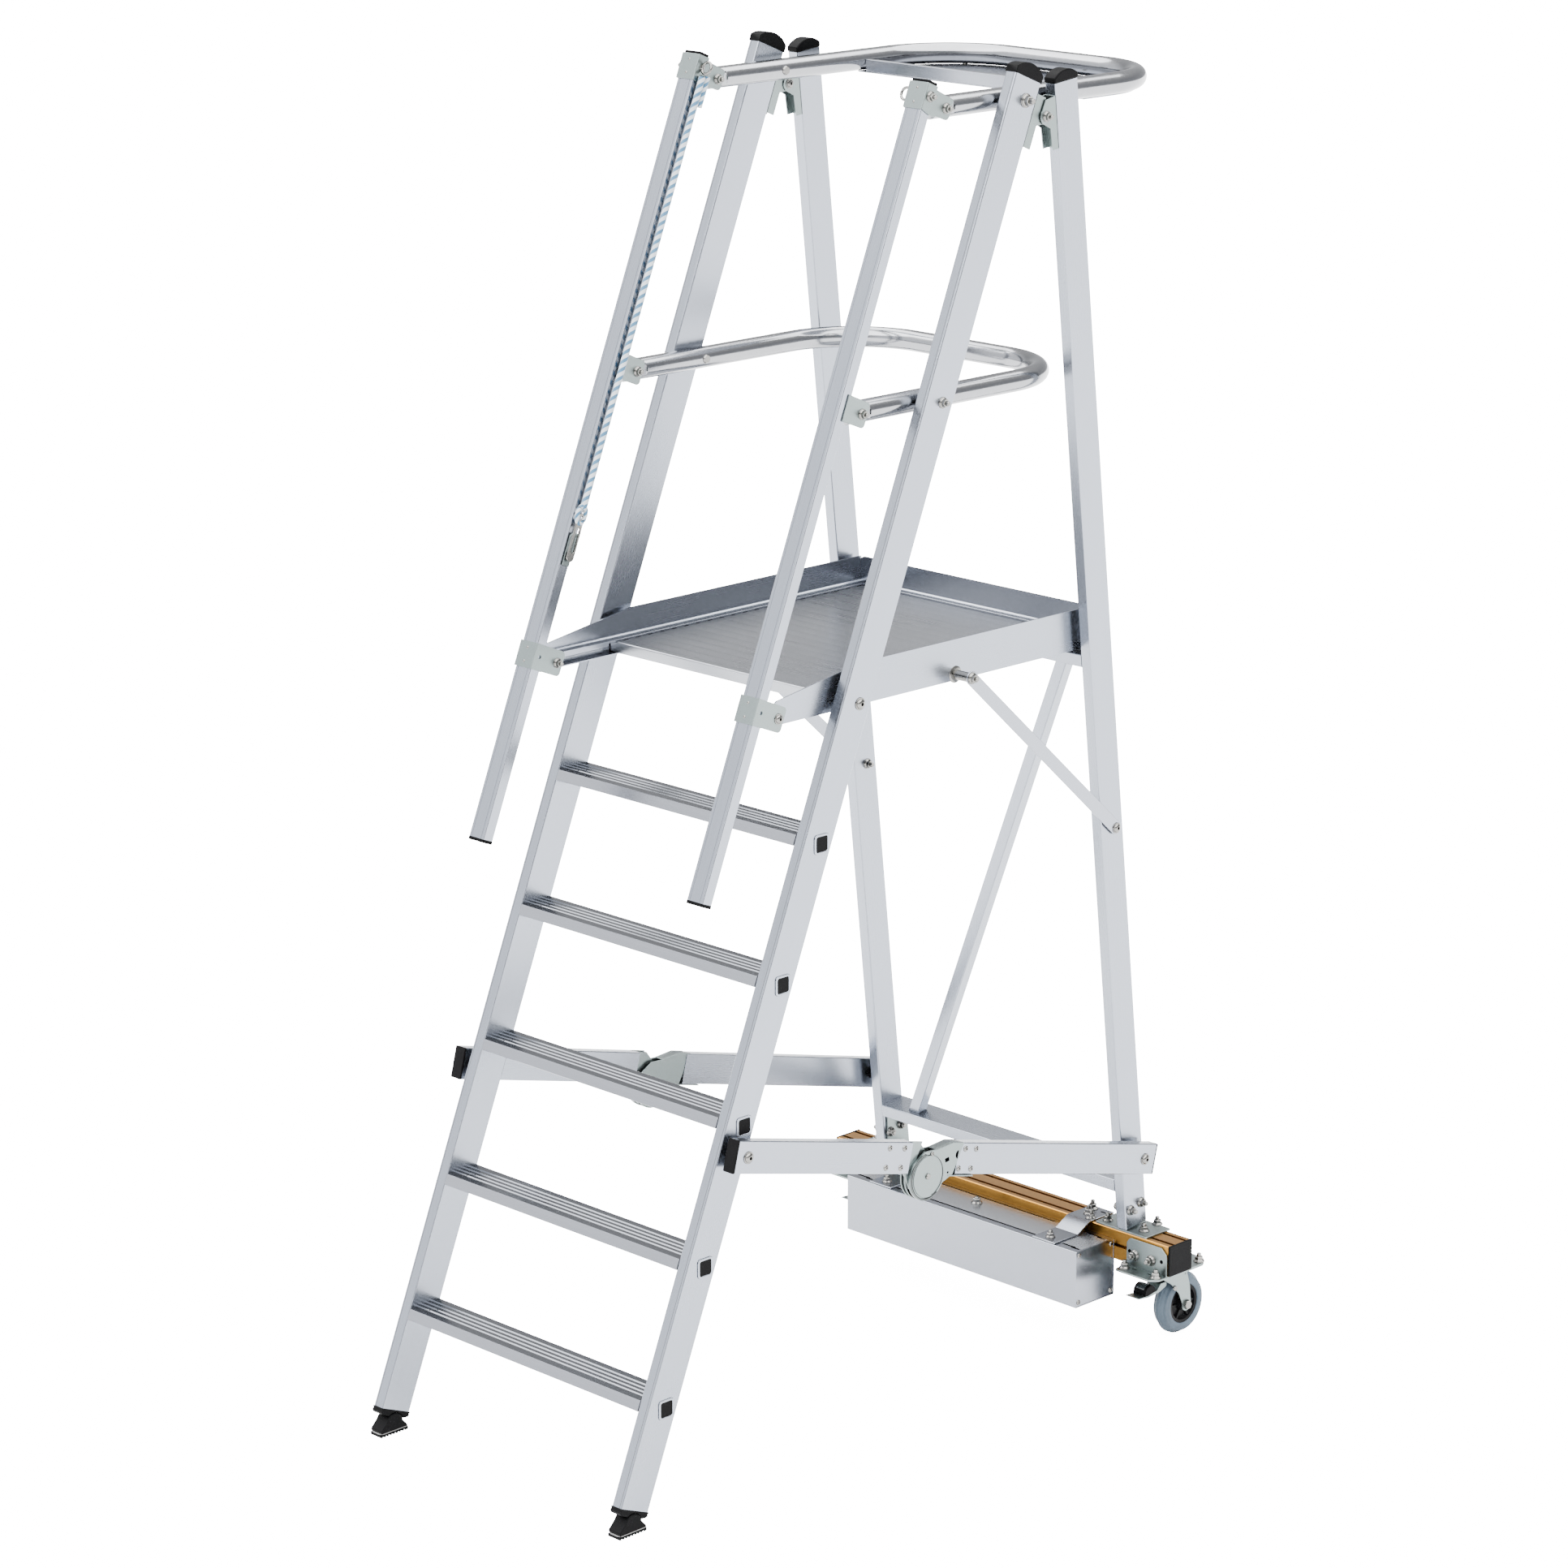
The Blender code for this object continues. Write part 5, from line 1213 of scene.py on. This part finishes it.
def make_rope():
    """Twisted rope from the eye down the left post to a flat snap hook."""
    low, high = box_of("rope")
    x = (low.x + high.x) / 2
    radius = 0.0063
    v = POST_V[0] + 0.0125
    top, bottom = 2.3250, 1.5070
    path = [Vector((x, v, top + (bottom - top) * i / 160)) for i in range(161)]
    add_rope("rope_line", path, radius)
    tail = [Vector((x, v + 0.0122, top + 0.004 - 0.058 * i / 14)) for i in range(15)]
    add_rope("rope_tail", tail, radius * 0.92, ())
    eye = [Vector((x, v - 0.001 + 0.0095 * math.sin(t), bottom - 0.010 + 0.0165 * math.cos(t)))
           for t in [2 * math.pi * k / 40 for k in range(41)]]
    add_rope("rope_eye", eye, radius * 0.72, ())
    make_hook(x, v)


def add_rope(name, path, radius, nodes=("rope",)):
    lengths = [0.0]
    for here, after in zip(path, path[1:]):
        lengths.append(lengths[-1] + (after - here).length)
    sides = 36
    strands = 6
    pitch = 0.0520

    def section(i, count):
        turn = 2 * math.pi * lengths[i] / pitch
        points = []
        for k in range(sides):
            t = 2 * math.pi * k / sides
            bulge = 1.0 - 0.075 * (1 - abs(math.cos(strands / 2 * (t + turn))))
            points.append((radius * bulge * math.cos(t), radius * bulge * math.sin(t)))
        return points

    bm = bmesh.new()
    layer = bm.loops.layers.uv.new("wind")
    add_sweep(bm, path, section, uv=(layer, lengths, pitch / 3))
    piece(name, bm, "rope", "post_left", LADDER, sharp=80.0, nodes=nodes)


def make_hook(x, v):
    """Flat snap hook and the clip that parks it on the post."""
    outline = []
    outline += arc(0.0, 0.0, 0.0085, 20, 160, 12)
    outline += [(-0.0085, -0.070)] + arc(0.0, -0.074, 0.0085, 190, 350, 12) + [(0.0085, -0.030)]
    hole = rounded(rect(-0.0045, 0.0045, -0.066, -0.018), 0.0040)
    eye = ring(0.0, 0.0, 0.0042, 16)
    at = LADDER @ Matrix.Translation((x, v, 1.4910))
    prism("hook_plate", [outline, hole, eye], -0.0018, 0.0018, "steel", "post_left", at, ALONG_X, bevel=0.0005,
          nodes=["rope_hook"])
    clip = [(0.0, 0.0), (0.0022, 0.0), (0.0022, 0.052), (0.0080, 0.060), (0.0080, 0.0625), (0.0, 0.056)]
    prism("hook_clip", [[(a + x - 0.0075, b - 0.045) for a, b in clip]], v - 0.0085, v + 0.0085, "zinc", "post_left",
          LADDER @ Matrix.Translation((0, 0, 1.4450)), Matrix(((1, 0, 0, 0), (0, 0, 1, 0), (0, 1, 0, 0), (0, 0, 0, 1))),
          bevel=0.0003)


# -------------------------------------------------------------- spreaders
STAY_X = (0.3500, 0.3755)
STAY_HALF = 0.0300


def make_spreaders():
    for side, word in SIDES:
        front = JOINT["spreader_front_%s_fold" % word]
        lock = JOINT["spreader_lock_" + word]
        length, slope = 1.1052580, math.atan2(-0.2750, 1.0705)
        stay = Matrix.Translation((0, front.y, front.z)) @ Matrix.Rotation(slope, 4, "X")
        place = stay.inverted() @ centred(lock)
        make_bar(side, word, "front", stay, -0.0280, place.y - 0.0540)
        make_bar(side, word, "rear", stay, place.y + 0.0760, length + 0.0280)
        make_lock(side, word, stay, place.y, place.z)
        outer = side * STAY_X[1]
        hardware.button("spreader_front_" + word, stay, (outer, 0, 0), (side, 0, 0), 1.1)
        hardware.button("spreader_rear_" + word, stay, (outer, length, 0), (side, 0, 0), 1.1)
        for name, y, body in (("front", 0.0, "spreader_front_" + word), ("rear", length, "spreader_rear_" + word)):
            bm = bmesh.new()
            wall = STILE_X[1] if name == "front" else REAR_X[1]
            add_turned(bm, [(0, wall + 0.0004), (0.0110, wall + 0.0004), (0.0110, STAY_X[0]), (0, STAY_X[0])],
                       Matrix.Translation((0, y, 0)) @ (ALONG_X if side > 0 else
                                                        Matrix.Rotation(math.pi, 4, "Z") @ ALONG_X))
            piece("stay_spacer_%s_%s" % (name, word), bm, "black", body, stay)


def make_bar(side, word, name, stay, start, stop):
    x0, x1 = STAY_X
    outline = rounded([(-STAY_HALF, x0), (STAY_HALF, x0), (STAY_HALF, x1), (-STAY_HALF, x1)], 0.0020)
    if side < 0:
        outline = [(z, -x) for z, x in outline]
    body = "spreader_%s_%s" % (name, word)
    prism("stay_%s_%s" % (name, word), [outline], start, stop, "aluminium", body, stay, ALONG_Y, nodes=[body])
    end, inward = (start, 1) if name == "front" else (stop, -1)
    wide = [(-STAY_HALF - 0.0002, x0 - 0.0002), (STAY_HALF + 0.0002, x0 - 0.0002), (STAY_HALF + 0.0002, x1 + 0.0002),
            (-STAY_HALF - 0.0002, x1 + 0.0002)]
    plug = rounded(wide, 0.0022)
    if side < 0:
        plug = [(z, -x) for z, x in plug]
    low, high = sorted((end, end - inward * 0.0040))
    prism("stay_plug_%s_%s" % (name, word), [plug], low, high, "black", body, stay, ALONG_Y, bevel=0.0010)


def make_lock(side, word, stay, y, z):
    """Lock between the two bars: a housing, a recessed disc, a lever and rivets."""
    front_body, rear_body = "spreader_front_" + word, "spreader_rear_" + word
    x_in, x_out = STAY_X
    disc = 0.0460
    half = STAY_HALF
    housing = arc(y, z, disc, 150, 345, 30)
    housing += [(y + 0.0690, -half + 0.0010), (y + 0.0860, half + 0.0008), (y + 0.0560, half + 0.0008),
                (y + 0.0150, half - 0.0130), (y - 0.0170, half - 0.0190)]
    bm = bmesh.new()
    for low, high in ((x_in + 0.0012, x_in + 0.0040), (x_out - 0.0040, x_out + 0.0012)):
        add_prism(bm, [housing], *sided(side, low, high), ALONG_X)
    piece("lock_cheeks_" + word, bm, "zinc", rear_body, stay, bevel=0.0008, segments=3)
    roof = [(y + 0.0860, half + 0.0006), (y + 0.0560, half + 0.0006), (y + 0.0150, half - 0.0132),
            (y + 0.0155, half - 0.0160), (y + 0.0565, half - 0.0020), (y + 0.0850, half - 0.0020)]
    prism("lock_roof_" + word, [roof], *sided(side, x_in + 0.0042, x_out - 0.0042), "zinc", rear_body, stay,
          ALONG_X, bevel=0.0004)
    tongue = arc(y, z, disc - 0.0010, 95, 260, 24)
    tongue += [(y - 0.0560, -half + 0.0010), (y - 0.0545, half - 0.0010), (y - 0.0250, half - 0.0010)]
    prism("lock_tongue_" + word, [tongue], *sided(side, x_in + 0.0105, x_in + 0.0150), "zinc", front_body, stay,
          ALONG_X, bevel=0.0006)
    cover = [(y - 0.0575, half + 0.0006), (y - 0.0240, half + 0.0006), (y - 0.0330, z + 0.0300)]
    cover += arc(y, z, disc - 0.0012, 150, 215, 12)
    cover += [(y - 0.0575, -half - 0.0004)]
    prism("lock_cover_" + word, [rounded(cover, 0.0)], *sided(side, x_in + 0.0180, x_in + 0.0214), "zinc",
          front_body, stay, ALONG_X, bevel=0.0006)
    face = x_out + 0.0013
    inner = disc * 0.94
    rim = arc(y, z, disc - 0.0004, 115, 300, 30) + arc(y, z, inner, 300, 115, 30)
    prism("lock_rim_" + word, [rim], *sided(side, face - 0.0004, face + 0.0020), "zinc", rear_body, stay, ALONG_X,
          bevel=0.0009, segments=3)
    dial = ring(y + 0.0030, z, inner - 0.0030, 48)
    prism("lock_dial_" + word, [dial], *sided(side, face - 0.0004, face + 0.0012), "zinc", rear_body, stay, ALONG_X,
          bevel=0.0007, segments=3)
    # thin near-black arcs along the rim, the step and the dial: painted shade at the edges of the raised rim and dial
    for name, radius, first, last, wide in (("rim", disc - 0.0004, 112, 302, 0.0007),
                                            ("step", inner - 0.0004, 106, 318, 0.0010),
                                            ("dial", inner - 0.0032, -62, 102, 0.0006)):
        line = arc(y, z, radius, first, last, 36) + arc(y, z, radius - wide, last, first, 36)
        prism("lock_line_%s_%s" % (name, word), [line], *sided(side, face + 0.0008, face + 0.00222), "dark_steel",
              rear_body, stay, ALONG_X)
    hardware.head(rear_body, stay, (side * (face + 0.0012), y, z), (side, 0, 0), 0.0058, 0.0030)
    hardware.rivet(rear_body, stay, (side * (face + 0.0010), y + 0.0020, z + inner - 0.0010), (side, 0, 0), 0.9)
    # the dot, window and notch are dark flat pieces: painted shade, not cuts
    hardware.dot(rear_body, stay, (side * face, y + 0.0545, -half + 0.0040), (side, 0, 0), 0.0022)
    lever = rounded([(y + 0.0560, -half - 0.0032), (y + 0.1270, -half - 0.0032), (y + 0.1240, -half - 0.0008),
                     (y + 0.0560, -half - 0.0008)], 0.0008)
    prism("lock_lever_" + word, [lever], *sided(side, x_in + 0.0020, x_out + 0.0020), "zinc", rear_body, stay,
          ALONG_X, bevel=0.0004)
    window = rounded([(y + 0.0400, z + 0.0330), (y + 0.0500, z + 0.0370), (y + 0.0530, z + 0.0300),
                      (y + 0.0430, z + 0.0260)], 0.001)
    prism("lock_window_" + word, [window], *sided(side, face - 0.0002, face + 0.0002), "hole", rear_body, stay,
          ALONG_X)
    notch = arc(y + 0.0765, 0.0080, 0.0085, 105, 255, 14)
    prism("lock_notch_" + word, [notch], *sided(side, face - 0.0002, face + 0.0002), "hole", rear_body, stay,
          ALONG_X)
    for along, up in ((-0.0740, 0.0185), (-0.1140, 0.0185), (-0.0760, -0.0180), (-0.1160, -0.0180)):
        hardware.rivet(front_body, stay, (side * x_out, y + along, up), (side, 0, 0), 1.25)
    for along, up in ((0.0940, 0.0185), (0.1240, 0.0185), (0.0840, -0.0190), (0.1180, -0.0190)):
        hardware.rivet(rear_body, stay, (side * x_out, y + along, up), (side, 0, 0), 1.25)


# -------------------------------------------------------------- stage
def make_stage():
    floor_material, tree, shader = new_material("studio_floor")
    shader.inputs["Base Color"].default_value = (0.80, 0.80, 0.80, 1)
    shader.inputs["Roughness"].default_value = 0.9
    shader.inputs["Specular IOR Level"].default_value = 0.0
    shader.inputs["Emission Color"].default_value = (1, 1, 1, 1)
    rays = tree.nodes.new("ShaderNodeLightPath")
    glow = add_node(tree, "ShaderNodeMath", operation="MULTIPLY")
    glow.inputs[1].default_value = 14.0
    tree.links.new(rays.outputs["Is Camera Ray"], glow.inputs[0])
    tree.links.new(glow.outputs["Value"], shader.inputs["Emission Strength"])
    bm = bmesh.new()
    bmesh.ops.create_grid(bm, x_segments=1, y_segments=1, size=150.0)
    mesh = bpy.data.meshes.new("floor")
    bm.to_mesh(mesh)
    bm.free()
    mesh.materials.append(floor_material)
    floor = bpy.data.objects.new("floor", mesh)
    bpy.context.collection.objects.link(floor)
    floor.location.z = -0.0005


def make_lights():
    """One very soft light from above, over a dim surround."""
    data = bpy.data.lights.new("overhead", "SUN")
    data.energy = 21.0
    data.angle = math.radians(110)
    light = bpy.data.objects.new("overhead", data)
    bpy.context.collection.objects.link(light)
    light.rotation_euler = (math.radians(6), math.radians(4), 0)
    world = bpy.data.worlds.new("studio")
    bpy.context.scene.world = world
    world.use_nodes = True
    tree = world.node_tree
    background = tree.nodes["Background"]
    coords = tree.nodes.new("ShaderNodeTexCoord")
    split = tree.nodes.new("ShaderNodeSeparateXYZ")
    ramp = tree.nodes.new("ShaderNodeValToRGB")
    tree.links.new(coords.outputs["Generated"], split.inputs["Vector"])
    tree.links.new(split.outputs["Z"], ramp.inputs["Fac"])
    ramp.color_ramp.elements[0].position = 0.0
    ramp.color_ramp.elements[0].color = (0.62, 0.63, 0.66, 1)
    ramp.color_ramp.elements[1].position = 0.75
    ramp.color_ramp.elements[1].color = (1.0, 1.0, 1.0, 1)
    ramp.color_ramp.elements.new(0.30).color = (0.55, 0.56, 0.58, 1)
    tree.links.new(ramp.outputs["Color"], background.inputs["Color"])
    side = add_node(tree, "ShaderNodeVectorMath", operation="DOT_PRODUCT")
    side.inputs[1].default_value = (-0.55, -0.83, 0.0)
    tree.links.new(coords.outputs["Generated"], side.inputs[0])
    level = add_node(tree, "ShaderNodeMapRange", interpolation_type="SMOOTHSTEP")
    level.inputs["From Min"].default_value = 0.20
    level.inputs["From Max"].default_value = 0.90
    level.inputs["To Min"].default_value = 1.35
    level.inputs["To Max"].default_value = 5.0
    tree.links.new(side.outputs["Value"], level.inputs["Value"])
    tree.links.new(level.outputs["Result"], background.inputs["Strength"])


def make_camera():
    """Camera at the height and distance of a standing photographer, long lens."""
    data = bpy.data.cameras.new("camera")
    data.sensor_width = 36.0
    data.lens = 112.4
    data.clip_end = 200.0
    camera = bpy.data.objects.new("camera", data)
    bpy.context.collection.objects.link(camera)
    azimuth, pitch = math.radians(45.03), math.radians(15.42)
    camera.location = (6.17495, -6.17728, 3.57987)
    forward = Vector((-math.sin(azimuth) * math.cos(pitch), math.cos(azimuth) * math.cos(pitch), -math.sin(pitch)))
    camera.rotation_euler = forward.to_track_quat("-Z", "Y").to_euler()
    bpy.context.scene.camera = camera


# -------------------------------------------------------------- build
make_stiles()
make_treads()
make_feet()
make_stile_bolts()
make_hinges()
make_rear_frame()
make_traverse()
make_box()
make_straps()
make_shoes()
make_caster_mounts()
make_casters()
make_platform()
make_rails()
make_posts()
make_rope()
make_spreaders()
hardware.build()
make_stage()
make_lights()
make_camera()
